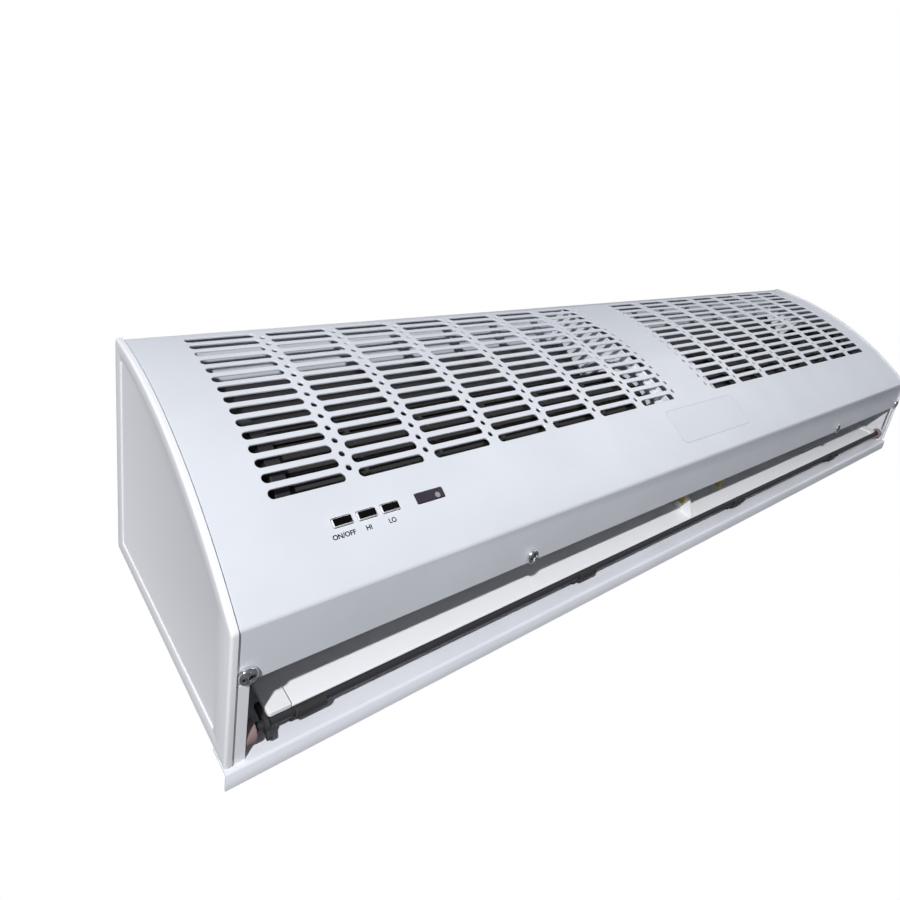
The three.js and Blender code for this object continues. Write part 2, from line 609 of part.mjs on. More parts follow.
/** A shaft bearing in its outer end plate: a bronze bush in a rubber. */
function bearing(side) {
  const middle = OUTER_PLATE_X + END_PLATE / 2;
  const half = BEARING_RUBBER_LENGTH / 2;
  const rubber = ring(BEARING_RUBBER_RADIUS, BEARING_BUSH_RADIUS + GAP,
    ...leftRight(side, middle - half, middle + half));
  const bush = ring(BEARING_BUSH_RADIUS, SHAFT_RADIUS + SHAFT_CLEARANCE,
    ...leftRight(side, middle - half, middle + half));
  const place = [0, -ROTOR_DEPTH, ROTOR_HEIGHT];
  return [
    piece(`${sideName(side)}_bearing_rubber`, rubber, FINISH.rubber, place),
    piece(`${sideName(side)}_bearing_bush`, bush, FINISH.bronze, place),
  ];
}

// ---------------------------------------------------------------- motor

/** The motor's shell with its two bosses, bored for the shaft. */
function motorBody() {
  const profile = [
    [0, -MOTOR_HALF_LENGTH - MOTOR_BOSS_LENGTH], [MOTOR_BOSS_RADIUS, -MOTOR_HALF_LENGTH - MOTOR_BOSS_LENGTH],
    [MOTOR_BOSS_RADIUS, -MOTOR_HALF_LENGTH], [MOTOR_END_RADIUS, -MOTOR_HALF_LENGTH],
    [MOTOR_RADIUS, -MOTOR_SHOULDER_X],
  ];
  const mirrored = profile.map(([radius, x]) => [radius, -x]).reverse();
  const points = [...profile, ...mirrored].map(([radius, x]) => new THREE.Vector2(radius, x));
  const body = new THREE.LatheGeometry(points, 24).rotateZ(-Math.PI / 2);
  const shaftHole = rod(SHAFT_RADIUS + SHAFT_CLEARANCE, -UNIT_LENGTH, UNIT_LENGTH);
  return piece('motor_body', cut(body, shaftHole), FINISH.motorSteel, [0, -ROTOR_DEPTH, ROTOR_HEIGHT]);
}

/** A rubber ring on a motor boss, held by the bracket's cheek. */
function motorRing(side) {
  const span = leftRight(side, MOTOR_HALF_LENGTH + GAP, MOTOR_HALF_LENGTH + MOTOR_BOSS_LENGTH);
  const geometry = ring(MOTOR_BOSS_RADIUS + MOTOR_RING_WALL, MOTOR_BOSS_RADIUS + GAP, ...span);
  return piece(`${sideName(side)}_motor_ring`, geometry, FINISH.rubber, [0, -ROTOR_DEPTH, ROTOR_HEIGHT]);
}

/** A U-shaped bracket on the pan, whose cheeks hold the motor's rubber rings and reach down. */
function motorBracket() {
  const base = PAN_STANDOFF + GAP;
  const low = ROTOR_HEIGHT - BRACKET_HALF_HEIGHT;
  const high = ROTOR_HEIGHT + BRACKET_HALF_HEIGHT;
  const noseDepth = ROTOR_DEPTH + MOTOR_BOSS_RADIUS + MOTOR_RING_WALL + BRACKET_NOSE;
  const outline = [
    at(base, low), at(BRACKET_LEG.depth + BRACKET_LEG.lean, low),
    at(BRACKET_LEG.depth, BRACKET_LEG.height),
    at(BRACKET_LEG.depth + BRACKET_LEG.width, BRACKET_LEG.height),
    at(BRACKET_LEG.depth + BRACKET_LEG.lean + BRACKET_LEG.topWidth, low),
    at(noseDepth, ROTOR_HEIGHT - BRACKET_HALF_HEIGHT / 2),
    at(noseDepth, ROTOR_HEIGHT + BRACKET_HALF_HEIGHT / 2),
    at(ROTOR_DEPTH, high), at(base, high),
  ];
  const cheek = (side) =>
    extrudeAlong(outline, ...leftRight(side, BRACKET_HALF_SPAN - BRACKET_SHEET, BRACKET_HALF_SPAN));
  const foot = blockBetween(
    [-BRACKET_HALF_SPAN, BRACKET_HALF_SPAN], [base, base + BRACKET_SHEET], [low, high]);
  const hole = rod(MOTOR_BOSS_RADIUS + MOTOR_RING_WALL + GAP, -UNIT_LENGTH, UNIT_LENGTH)
    .translate(0, -ROTOR_DEPTH, ROTOR_HEIGHT);
  const bracket = join([cheek(-1), cheek(1), foot]).subtract(toSolid(hole));
  return piece('motor_bracket', toGeometry(bracket), FINISH.yellowZinc);
}

// ---------------------------------------------------------------- rotor, about its own axis

/** A cross-flow wheel: curved blades between end discs, steadied by rings. */
function impeller(side) {
  const inner = IMPELLER_INNER_X;
  const outer = IMPELLER_OUTER_X;
  const disc = (low, bore, radius = IMPELLER_RADIUS) =>
    ring(radius, bore, ...leftRight(side, low, low + IMPELLER_DISC), 24);
  const parts = [
    disc(inner, HUB_RADIUS + GAP),
    disc(outer - IMPELLER_DISC, SHAFT_RADIUS + SHAFT_CLEARANCE),
    ring(STUB_BOSS_RADIUS, SHAFT_RADIUS + SHAFT_CLEARANCE,
      ...leftRight(side, outer - IMPELLER_DISC - STUB_BOSS_LENGTH, outer - IMPELLER_DISC / 2)),
  ];
  for (let i = 1; i <= IMPELLER_RINGS; i += 1) {
    const station = inner + ((outer - inner - IMPELLER_DISC) * i) / (IMPELLER_RINGS + 1);
    parts.push(disc(station, IMPELLER_BORE_RADIUS));
  }
  const bladeInner = IMPELLER_BORE_RADIUS + BLADE_EDGE_MARGIN;
  const bladeOuter = IMPELLER_RADIUS - BLADE_EDGE_MARGIN;
  const bladeSpan = leftRight(side, inner + IMPELLER_DISC / 2, outer - IMPELLER_DISC / 2);
  for (let blade = 0; blade < IMPELLER_BLADES; blade += 1) {
    const start = (360 * blade) / IMPELLER_BLADES;
    const line = [0, 0.5, 1].map((share) => {
      const radius = bladeInner + (bladeOuter - bladeInner) * share;
      const angle = (start + BLADE_SWEEP * share ** 2) * RAD;
      return new THREE.Vector2(radius * Math.cos(angle), radius * Math.sin(angle));
    });
    parts.push(extrudeAlong(sheetOutline(line, BLADE_THICKNESS), ...bladeSpan));
  }
  return piece(`${sideName(side)}_impeller`, joined(...parts), FINISH.blackPlastic);
}

/** The rubber hub that couples an impeller to the motor's shaft. */
function driveHub(side) {
  const low = IMPELLER_INNER_X - HUB_PROUD;
  const span = leftRight(side, low, low + HUB_LENGTH);
  const geometry = ring(HUB_RADIUS, SHAFT_RADIUS + SHAFT_CLEARANCE, ...span);
  return piece(`${sideName(side)}_drive_hub`, geometry, FINISH.rubber);
}

/** The short shaft at an impeller's outer end, which runs in the bearing. */
function stubShaft(side) {
  const outer = OUTER_PLATE_X + END_PLATE / 2 + BEARING_RUBBER_LENGTH / 2 + STUB_PROUD;
  const span = leftRight(side, outer - STUB_LENGTH, outer);
  return piece(`${sideName(side)}_stub_shaft`, rod(SHAFT_RADIUS, ...span), FINISH.brightSteel);
}

/** The motor's shaft, from one drive hub to the other. */
function motorShaft() {
  const reach = IMPELLER_INNER_X - HUB_PROUD + HUB_LENGTH;
  return piece('motor_shaft', rod(SHAFT_RADIUS, -reach, reach), FINISH.brightSteel);
}

// ---------------------------------------------------------------- outlet vane, about its rod

/** A section of the vane at some thickness, standing in front of the rod and leaning forward. */
function vaneOutline(thickness) {
  const lean = Math.tan(VANE_LEAN * RAD);
  const line = [at(VANE_BACK, -VANE_FOOT_DROP), at(VANE_BACK + VANE_REACH * lean, VANE_REACH)];
  return sheetOutline(line, thickness);
}

/** The vane's sheet with its end plugs, rod, finger tab and lever. */
function vanePieces() {
  const sheet = extrudeAlong(vaneOutline(VANE_SHEET), -VANE_END_X, VANE_END_X);
  const rodEnd = CAP_SKIRT_X - VANE_BUSH_LENGTH / 2 - GAP;
  const lean = Math.tan(VANE_LEAN * RAD);
  const front = (height) => VANE_BACK + VANE_SHEET + GAP + height * lean;
  const tip = front(0) + VANE_TAB.reach;
  const tabOutline = [
    at(front(0), 0), at(tip, VANE_TAB.tipLow), at(tip, VANE_TAB.tipHigh),
    at(front(VANE_TAB.height), VANE_TAB.height),
  ];
  const half = VANE_TAB.thickness / 2;
  const tab = extrudeAlong(tabOutline, VANE_TAB.x - half, VANE_TAB.x + half);
  const plug = (side) => extrudeAlong(vaneOutline(VANE_PLUG_THICKNESS),
    ...leftRight(side, VANE_END_X + GAP, VANE_END_X + VANE_PLUG_LENGTH));
  return [
    piece('air_vane', sheet, FINISH.whiteVane),
    piece('left_vane_plug', plug(-1), FINISH.whitePlastic),
    piece('right_vane_plug', plug(1), FINISH.whitePlastic),
    piece('vane_rod', rod(VANE_ROD_RADIUS, -rodEnd, rodEnd), FINISH.blackRod),
    piece('vane_finger_tab', tab, FINISH.whitePlastic),
    vaneLever(),
  ];
}

/** The forked lever on the rod's left end: a hub with one arm along the vane and one toe below. */
function vaneLever() {
  const { thickness, hub, width, arm, armAngle, toe, toeAngle } = VANE_LEVER;
  const x = -(VANE_END_X + VANE_PLUG_LENGTH + GAP + thickness);
  const limb = (length, angle) =>
    box(x + thickness / 2, 0, length / 2, thickness, width, length).rotateX(angle * RAD);
  const solid = join([rod(hub, x, x + thickness), limb(arm, armAngle), limb(toe, toeAngle)])
    .subtract(toSolid(rod(VANE_ROD_RADIUS + GAP, x - OVERRUN, x + thickness + OVERRUN)));
  return piece('vane_lever', toGeometry(solid), FINISH.blackPlastic);
}

/** A saddle on the pan that holds the vane's rod from below and behind, open towards the vane. */
function vaneClip(x, index) {
  const inner = VANE_ROD_RADIUS + GAP;
  const outer = inner + CLIP_WALL;
  const { from, to } = CLIP_MOUTH;
  const saddle = [...arc(0, 0, outer, outer, to, from, 9), ...arc(0, 0, inner, inner, from, to, 9)];
  const pan = -(VANE_DEPTH - PAN_STANDOFF - GAP);
  const front = CLIP_FOOT.bite - outer;
  const foot = [
    at(pan, CLIP_FOOT.low), at(pan, CLIP_FOOT.high), at(front, CLIP_FOOT.high), at(front, CLIP_FOOT.low),
  ];
  const span = [x - CLIP_LENGTH / 2, x + CLIP_LENGTH / 2];
  const geometry = joined(extrudeAlong(saddle, ...span), extrudeAlong(foot, ...span));
  return piece(`vane_clip_${index + 1}`, geometry, FINISH.blackPlastic, [0, -VANE_DEPTH, VANE_HEIGHT]);
}

/** The bush that carries the rod's end in an end cap's boss. */
function vaneBush(side) {
  const span = leftRight(side, CAP_SKIRT_X - GAP - VANE_BUSH_LENGTH, CAP_SKIRT_X - GAP);
  return piece(`${sideName(side)}_vane_bush`, ring(VANE_BUSH_RADIUS, VANE_ROD_RADIUS + GAP, ...span, 20),
    FINISH.brownRubber, [0, -VANE_DEPTH, VANE_HEIGHT]);
}

// ---------------------------------------------------------------- controls, on their facet

const HOLDER_TOP = -(SHEET + GAP);
const BOARD_TOP = HOLDER_TOP - HOLDER.depth - GAP;
const BUTTON_BOTTOM = BUTTON.proud - BUTTON.depth;
const GUIDE_TOP = HOLDER_TOP - BUTTON.flange - BUTTON.travel - 2 * GAP;

/** A key with a ledge that keeps it behind the cover. */
function pushButton() {
  const { length, width, depth, proud, flange, ledge } = BUTTON;
  return joined(
    box(0, 0, proud - depth / 2, length, width, depth),
    box(0, 0, HOLDER_TOP - flange / 2, length + 2 * ledge, width + 2 * ledge, flange));
}

/** The frame behind the cover that guides the buttons. */
function controlHolder() {
  const { length, height, depth, wall } = HOLDER;
  const walls = cut(
    box(HOLDER_MIDDLE, 0, HOLDER_TOP - depth / 2, length, height, depth),
    box(HOLDER_MIDDLE, 0, HOLDER_TOP - depth / 2, length - 2 * wall, height - 2 * wall, 2 * depth));
  const guide = box(HOLDER_MIDDLE, 0, GUIDE_TOP - wall / 2, length - wall, height - wall, wall);
  const windows = BUTTONS.map(({ x }) => buttonWindow(4 * wall).translate(x, 0, GUIDE_TOP));
  return piece('control_holder', cut(joined(walls, guide), ...windows), FINISH.whitePlastic);
}

/** The board with one switch under each button. */
function controlBoard() {
  const board = box(HOLDER_MIDDLE, 0, BOARD_TOP - BOARD_THICKNESS / 2,
    HOLDER.length - 2 * HOLDER.wall, HOLDER.height - HOLDER.wall, BOARD_THICKNESS);
  const top = BUTTON_BOTTOM - BUTTON.travel - GAP;
  const foot = BOARD_TOP - BOARD_THICKNESS / 2;
  const switches = BUTTONS.map(({ x }) => box(x, 0, (top + foot) / 2, SWITCH_SIDE, SWITCH_SIDE, top - foot));
  return piece('control_board', joined(board, ...switches), FINISH.circuitBoard);
}

/** The dark window of the remote receiver, with a ledge behind the cover. */
function receiverWindow() {
  const { length, width, ledge } = RECEIVER;
  const depth = -(GUIDE_TOP + GAP);
  const lens = box(0, 0, (GAP - depth) / 2, length, width, depth + GAP);
  const flange = box(0, 0, HOLDER_TOP - BUTTON.flange / 2,
    length + 2 * ledge, width + 2 * ledge, BUTTON.flange);
  return piece('receiver_window', joined(lens, flange), FINISH.darkWindow, [RECEIVER_X, 0, 0]);
}

/** Everything behind the control panel, on the arch's flat there. */
function controls() {
  const facet = placeOnArch(new THREE.Group(), 0, CONTROL_ARC);
  facet.add(controlHolder(), controlBoard(), receiverWindow());
  for (const { name, x } of BUTTONS) {
    facet.add(piece(name, pushButton(), FINISH.blackPlastic, [x, 0, 0]));
  }
  return facet;
}

// ---------------------------------------------------------------- electrical parts

/** A rubber grommet in the pan's cable hole. */
function cableGrommet() {
  const half = SHEET / 2 + GAP;
  const lip = GROMMET.wall;
  const profile = [
    [GROMMET.bore, -half - lip], [GROMMET.radius + lip, -half - lip], [GROMMET.radius + lip, -half],
    [GROMMET.radius - GAP, -half], [GROMMET.radius - GAP, half], [GROMMET.radius + lip, half],
    [GROMMET.radius + lip, half + lip], [GROMMET.bore, half + lip], [GROMMET.bore, -half - lip],
  ].map(([radius, y]) => new THREE.Vector2(radius, y));
  return piece('cable_grommet', new THREE.LatheGeometry(profile, 14), FINISH.rubber,
    [HALF_LENGTH - GROMMET.inset, -PAN_STANDOFF + SHEET / 2, GROMMET.height]);
}

/** A span of some width about its middle. */
const about = (middle, width) => [middle - width / 2, middle + width / 2];

/** The motor's capacitor: a block with a screw ear at each end and two spade tabs. */
function runCapacitor() {
  const { inset, height, length, width, depth } = CAPACITOR;
  const x = HALF_LENGTH - inset;
  const base = PAN_STANDOFF + GAP;
  const body = blockBetween(about(x, length), [base, base + depth], about(height, width));
  const ear = blockBetween(about(x, CAPACITOR_EAR.width), [base, base + CAPACITOR_EAR.thickness],
    about(height, width + 2 * CAPACITOR_EAR.reach));
  const tab = (rise) => blockBetween(about(x, CAPACITOR_TAB.width),
    [base + depth - OVERRUN, base + depth + CAPACITOR_TAB.length],
    about(height + rise, CAPACITOR_TAB.thickness));
  return piece('run_capacitor', joined(body, ear, tab(-CAPACITOR_TAB.spread), tab(CAPACITOR_TAB.spread)),
    FINISH.blackPlastic);
}

/** The mains terminals: a ribbed block with a screw in each pole. */
function terminalBlock() {
  const { inset, height, length, width, depth, seat, rib, poles } = TERMINALS;
  const x = -HALF_LENGTH + inset;
  const base = PAN_STANDOFF + GAP;
  const low = height - width / 2;
  const body = blockBetween(about(x, length), [base, base + seat], about(height, width));
  const ribs = Array.from({ length: poles + 1 }, (_, i) => blockBetween(
    about(x, length), [base, base + depth], about(low + rib / 2 + ((width - rib) * i) / poles, rib)));
  const screwLength = TERMINAL_SCREW.proud + TERMINAL_SCREW.sunk;
  const screwDepth = base + seat - TERMINAL_SCREW.sunk + screwLength / 2;
  const screws = Array.from({ length: poles }, (_, i) =>
    new THREE.CylinderGeometry(TERMINAL_SCREW.radius, TERMINAL_SCREW.radius, screwLength, 10)
      .translate(x, -screwDepth, low + (width / poles) * (i + 0.5)));
  return piece('terminal_block', joined(body, ...ribs, ...screws), FINISH.whitePlastic);
}

// ---------------------------------------------------------------- assembly

const unit = new THREE.Group();
unit.position.z = -MOUNT_HEIGHT;

unit.add(frontCover(), backPan(), wallPlate(), motorBody(), motorBracket(), controls());
for (const side of [-1, 1]) {
  unit.add(endCap(side), scroll(side), tongue(side), endPlate(side, false), endPlate(side, true));
  unit.add(...bearing(side), motorRing(side), vaneBush(side));
}
unit.add(...SCREW_X.map(coverScrew));
for (let i = 0; i < CLIP_COUNT; i += 1) {
  unit.add(vaneClip(-HALF_LENGTH + CLIP_END_INSET + i * CLIP_PITCH, i));
}
unit.add(cableGrommet(), runCapacitor(), terminalBlock());

const rotor = new THREE.Group();
rotor.position.set(0, -ROTOR_DEPTH, ROTOR_HEIGHT);
rotor.add(motorShaft());
for (const side of [-1, 1]) {
  rotor.add(impeller(side), driveHub(side), stubShaft(side));
}

const vane = new THREE.Group();
vane.position.set(0, -VANE_DEPTH, VANE_HEIGHT);
vane.add(...vanePieces());

unit.add(rotor, vane);

const airCurtain = new THREE.Group();
airCurtain.add(unit);

export default airCurtain;
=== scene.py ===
"""The looks of a wall-hung air curtain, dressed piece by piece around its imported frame.

Lengths are in millimetres until a mesh is made, which is in metres. A section across the unit is
drawn in depth, measured forward from the wall, and height, measured up from the outlet plane.
"""

from __future__ import annotations

import logging
import math
from dataclasses import dataclass
from enum import Enum
from functools import partialmethod
from typing import Callable, Iterable, Sequence

import bmesh
import bpy
from mathutils import Matrix, Vector

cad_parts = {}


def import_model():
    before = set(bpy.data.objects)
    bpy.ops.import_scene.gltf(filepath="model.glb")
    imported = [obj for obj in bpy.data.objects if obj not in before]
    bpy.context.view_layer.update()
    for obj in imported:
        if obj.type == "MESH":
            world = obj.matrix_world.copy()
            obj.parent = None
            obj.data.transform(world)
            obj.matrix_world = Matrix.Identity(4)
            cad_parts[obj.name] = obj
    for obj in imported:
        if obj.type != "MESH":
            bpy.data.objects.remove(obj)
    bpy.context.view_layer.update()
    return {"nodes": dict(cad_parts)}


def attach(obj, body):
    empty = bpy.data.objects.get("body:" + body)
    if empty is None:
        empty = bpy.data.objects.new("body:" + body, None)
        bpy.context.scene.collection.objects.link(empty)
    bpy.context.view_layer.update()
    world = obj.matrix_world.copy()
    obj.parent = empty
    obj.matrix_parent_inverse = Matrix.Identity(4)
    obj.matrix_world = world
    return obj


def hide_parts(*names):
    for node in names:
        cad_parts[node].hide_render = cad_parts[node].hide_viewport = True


LOG = logging.getLogger("air_curtain")
MM = 0.001

Point = tuple[float, float]
Span = tuple[float, float]
Triple = tuple[float, float, float]
Piece = bpy.types.Object
Socket = bpy.types.NodeSocket
MeshData = bmesh.types.BMesh


class Side(Enum):
    """The two ends of the unit."""

    LEFT = -1
    RIGHT = 1

    @property
    def word(self) -> str:
        """The side's name as it is used in the names of pieces."""
        return self.name.lower()

    def span(self, low: float, high: float) -> Span:
        """A span along X on this side, given by its distances from the middle."""
        return (-high, -low) if self is Side.LEFT else (low, high)


# ---- sizes


@dataclass(frozen=True)
class CaseSizes:
    """The section and length of the casing, which every sub-assembly is fitted to."""

    length: float = 900
    height: float = 196
    top_depth: float = 166
    foot_depth: float = 93.3
    arch_radius: float = 328.6
    sheet: float = 1.2
    gap: float = 0.3
    flange_depth: float = 32.3
    cap_plate: float = 4
    skirt_length: float = 7
    pan_standoff: float = 11
    control_from_foot: float = 35.5

    @property
    def half(self) -> float:
        """Half the unit's length."""
        return self.length / 2

    @property
    def cover_half(self) -> float:
        """Half the cover's length, between the cap plates."""
        return self.half - self.cap_plate

    @property
    def skirt_x(self) -> float:
        """Where a cap's skirt ends inside the cover."""
        return self.cover_half - self.skirt_length

    @property
    def flange_edge(self) -> float:
        """The depth of the cover's free edge at the outlet."""
        return self.foot_depth - self.flange_depth

    @property
    def centre(self) -> Point:
        """The arch's centre, in depth and height.

        Returns:
            Depth and height.
        """
        chord_depth, chord_height = self.top_depth - self.foot_depth, self.height
        half_chord = math.hypot(chord_depth, chord_height) / 2
        drop = math.sqrt(self.arch_radius**2 - half_chord**2) / (2 * half_chord)
        return (
            (self.top_depth + self.foot_depth) / 2 - chord_height * drop,
            self.height / 2 + chord_depth * drop,
        )

    def angle(self, arc: float) -> float:
        """The arch's angle at an arc length measured down from the top edge, in radians."""
        depth, height = self.centre
        return math.atan2(self.height - height, self.top_depth - depth) - arc / self.arch_radius

    @property
    def arc_length(self) -> float:
        """The arch's length from the top edge to the foot edge."""
        depth, height = self.centre
        foot = math.atan2(-height, self.foot_depth - depth)
        return (self.angle(0) - foot) * self.arch_radius

    def arch_point(self, arc: float, lift: float = 0) -> Point:
        """A point of the arch, some lift outside its skin."""
        depth, height = self.centre
        radius = self.arch_radius + lift
        return depth + radius * math.cos(self.angle(arc)), height + radius * math.sin(self.angle(arc))

    def arch_depth(self, height: float, lift: float = 0) -> float:
        """The depth at which the lifted arch passes a height."""
        return self.centre[0] + math.sqrt((self.arch_radius + lift) ** 2 - (height - self.centre[1]) ** 2)

    def row(self, x: float, depth: float, height: float) -> Vector:
        """A section point at a station along the unit, in the frame's metres."""
        return Vector((x, -depth, height - self.height / 2)) * MM


CASE = CaseSizes()


@dataclass(frozen=True)
class RotorSizes:
    """The cross-flow wheels' axis and reach."""

    axis: Point = (83, 100)
    radius: float = 46
    bore: float = 33
    inner_x: float = 45
    outer_x: float = 398
    shaft: float = 4
    clearance: float = 0.35
    hub: float = 11

    def place(self, x: float) -> Vector:
        """A point of the axis."""
        return CASE.row(x, *self.axis)


@dataclass(frozen=True)
class VaneSizes:
    """The outlet vane's axis and section."""

    axis: Point = (21, 6)
    rod: float = 2.6
    standoff: float = 0.4
    reach: float = 39
    lean: float = 5
    end_x: float = 412
    bush_radius: float = 5.8

    def at(self, x: float, along: float, out: float) -> Vector:
        """A point of the vane: some way up it, and out from its back face."""
        back = self.axis[0] + self.rod + self.standoff
        return CASE.row(x, back + out + along * math.tan(math.radians(self.lean)), self.axis[1] + along)


ROTOR = RotorSizes()
VANE = VaneSizes()


@dataclass(frozen=True)
class GrilleSizes:
    """The perforations of the cover: slots in a grid, with a dot between every four of them."""

    rows: int = 15
    side_columns: int = 7
    column_pitch: float = 55.5
    row_pitch: float = 10
    slot_length: float = 46.5
    slot_width: float = 6
    dot_radius: float = 2
    first_row: float = 12.3
    edge: float = 0.3
    end_round: float = 0.48


@dataclass(frozen=True)
class ScrewSizes:
    """Where the cover screws sit under the outlet's front edge, and their holes."""

    outer_x: float = 440.9
    inner_x: float = 248.7
    depth: float = 66.5
    hole: float = 2.3

    def drill(self, cutters: MeshData, x: float, reach: float = 6) -> None:
        """Add the cutter of the hole at a station."""
        add_drill(cutters, self.hole, reach, CASE.row(x, self.depth, 0), "Z")


SCREW = ScrewSizes()


# ---- lines and solids


def arc_points(centre: Point, radius: float | Span, angles: Span, steps: int) -> list[Point]:
    """Points of an arc or spiral in the section plane.

    Args:
        centre: The centre, in depth and height.
        radius: One radius, or the radius at the start and at the end.
        angles: Start and end angle in degrees, from the front (0) through the top (90).
        steps: The number of segments.

    Returns:
        The points in order.
    """
    first, last = radius if isinstance(radius, tuple) else (radius, radius)
    points = []
    for i in range(steps + 1):
        share = i / steps
        angle = math.radians(angles[0] + (angles[1] - angles[0]) * share)
        reach = first + (last - first) * share
        points.append((centre[0] + reach * math.cos(angle), centre[1] + reach * math.sin(angle)))
    return points


def rounded(points: Sequence[Point], radii: Sequence[float] | float, closed: bool = False,
            steps: int = 6) -> list[Point]:
    """Round the corners of a line.

    Args:
        points: The line's corners.
        radii: One radius for all corners, or one for each point.
        closed: Whether the last point joins the first.
        steps: The number of segments in each rounded corner.

    Returns:
        The line with an arc of steps + 1 points at each rounded corner.
    """
    every = [radii] * len(points) if isinstance(radii, (int, float)) else list(radii)
    count, result = len(points), []
    for i, point in enumerate(points):
        inner = closed or 0 < i < count - 1
        if every[i] <= 0 or not inner:
            result.append(point)
            continue
        here, before, after = Vector(point), Vector(points[i - 1]), Vector(points[(i + 1) % count])
        to_before, to_after = before - here, after - here
        turn = to_before.angle(to_after)
        reach = min(every[i] / math.tan(turn / 2), to_before.length * 0.49, to_after.length * 0.49)
        toward, away = to_before.normalized(), to_after.normalized()
        start, end = here + toward * reach, here + away * reach
        radius = reach * math.tan(turn / 2)
        middle = here + (toward + away).normalized() * radius / math.sin(turn / 2)
        first, last = start - middle, end - middle
        swing = first.angle_signed(last)
        for k in range(steps + 1):
            angle = -swing * k / steps
            turned = Vector((
                first.x * math.cos(angle) - first.y * math.sin(angle),
                first.x * math.sin(angle) + first.y * math.cos(angle),
            ))
            result.append(tuple(middle + turned))
    return result


def offset_line(points: Sequence[Point], distance: float, closed: bool = False) -> list[Point]:
    """Move a line sideways; positive is to its left in the depth and height plane.

    Args:
        points: The line's points.
        distance: How far the line moves.
        closed: Whether the last one joins the first.

    Returns:
        The moved line.
    """
    count, result = len(points), []
    for i, point in enumerate(points):
        before = points[i - 1] if closed or i else None
        after = points[(i + 1) % count] if closed or i < count - 1 else None
        normals = []
        for start, end in ((before, point), (point, after)):
            if start is not None and end is not None:
                run = Vector(end) - Vector(start)
                normals.append(Vector((-run.y, run.x)).normalized())
        middle = normals[0] + normals[-1]
        result.append(tuple(Vector(point) + middle * (2 * distance / middle.length_squared)))
    return result


def linked(name: str, data: bpy.types.ID) -> Piece:
    """Add an object with some data to the scene.

    Args:
        name: The object's name.
        data: Its mesh, curve, camera or light.

    Returns:
        The object.
    """
    piece = bpy.data.objects.new(name, data)
    bpy.context.scene.collection.objects.link(piece)
    return piece


def new_piece(name: str, mesh_data: MeshData) -> Piece:
    """Finish a bmesh as a named piece at the origin, with its faces pointing out.

    Args:
        name: The piece's name.
        mesh_data: The bmesh, which is freed.

    Returns:
        The piece.
    """
    bmesh.ops.remove_doubles(mesh_data, verts=mesh_data.verts, dist=1e-7)
    bmesh.ops.recalc_face_normals(mesh_data, faces=mesh_data.faces)
    mesh = bpy.data.meshes.new(name)
    mesh_data.to_mesh(mesh)
    mesh_data.free()
    return linked(name, mesh)


def add_loft(mesh_data: MeshData, loops: Sequence[Sequence[Vector]], closed: bool = False) -> None:
    """Add the skin over a row of closed loops, capped at both ends unless the row is closed.

    Args:
        mesh_data: The bmesh to add to.
        loops: The loops, all with the same number of points.
        closed: Whether the last one joins the first.
    """
    rings = [[mesh_data.verts.new(place) for place in loop] for loop in loops]
    count = len(rings[0])
    pairs = list(zip(rings, rings[1:])) + ([(rings[-1], rings[0])] if closed else [])
    for low, high in pairs:
        for i in range(count):
            mesh_data.faces.new((low[i], low[(i + 1) % count], high[(i + 1) % count], high[i]))
    if not closed:
        mesh_data.faces.new(rings[0][::-1])
        mesh_data.faces.new(rings[-1])


def add_prism(mesh_data: MeshData, outline: Sequence[Point], span: Span) -> None:
    """Add a section outline extruded along X."""
    add_loft(mesh_data, [[CASE.row(x, depth, height) for depth, height in outline] for x in span])


def add_sheet(mesh_data: MeshData, line: Sequence[Point], thickness: float, span: Span) -> None:
    """Add bent sheet metal that follows a line, its thickness to the left of it where positive.

    Args:
        mesh_data: The bmesh to add to.
        line: The line that the sheet follows.
        thickness: The sheet's thickness.
        span: The reach along X.
    """
    back = offset_line(line, thickness)
    ends = []
    for x in span:
        front_row = [mesh_data.verts.new(CASE.row(x, *point)) for point in line]
        back_row = [mesh_data.verts.new(CASE.row(x, *point)) for point in back]
        ends.append((front_row, back_row))
    (front_low, back_low), (front_high, back_high) = ends
    last = len(line) - 1
    for i in range(last):
        for a, b in ((front_low, front_high), (back_low, back_high), (front_low, back_low),
                     (front_high, back_high)):
            mesh_data.faces.new((a[i], a[i + 1], b[i + 1], b[i]))
    for i in (0, last):
        mesh_data.faces.new((front_low[i], front_high[i], back_high[i], back_low[i]))


def add_turned(mesh_data: MeshData, profile: Sequence[Point], origin: Vector, axis: str,
               sides: int = 32) -> None:
    """Add a turned solid.

    Args:
        mesh_data: The bmesh to add to.
        profile: Radius and station along the axis, in order; it is closed unless it ends on the axis.
        origin: The axis's zero station, in the frame's metres.
        axis: The axis it turns about, X, Y or Z.
        sides: The number of steps round the axis.
    """
    turn = {"X": Matrix.Rotation(math.pi / 2, 3, "Y"), "Y": Matrix.Rotation(-math.pi / 2, 3, "X"),
            "Z": Matrix.Identity(3)}[axis]
    on_axis = profile[0][0] == 0 and profile[-1][0] == 0
    angles = [2 * math.pi * k / sides for k in range(sides)]
    rings = []
    for radius, station in profile:
        rings.append([
            mesh_data.verts.new(origin + turn @ Vector((radius * math.cos(a), radius * math.sin(a),
                                                        station)) * MM)
            for a in (angles if radius else angles[:1])
        ])
    pairs = list(zip(rings, rings[1:])) + ([] if on_axis else [(rings[-1], rings[0])])
    for low, high in pairs:
        for k in range(sides):
            corners = [low[k % len(low)], low[(k + 1) % len(low)], high[(k + 1) % len(high)],
                       high[k % len(high)]]
            unique = list(dict.fromkeys(corners))
            if len(unique) > 2:
                mesh_data.faces.new(unique)


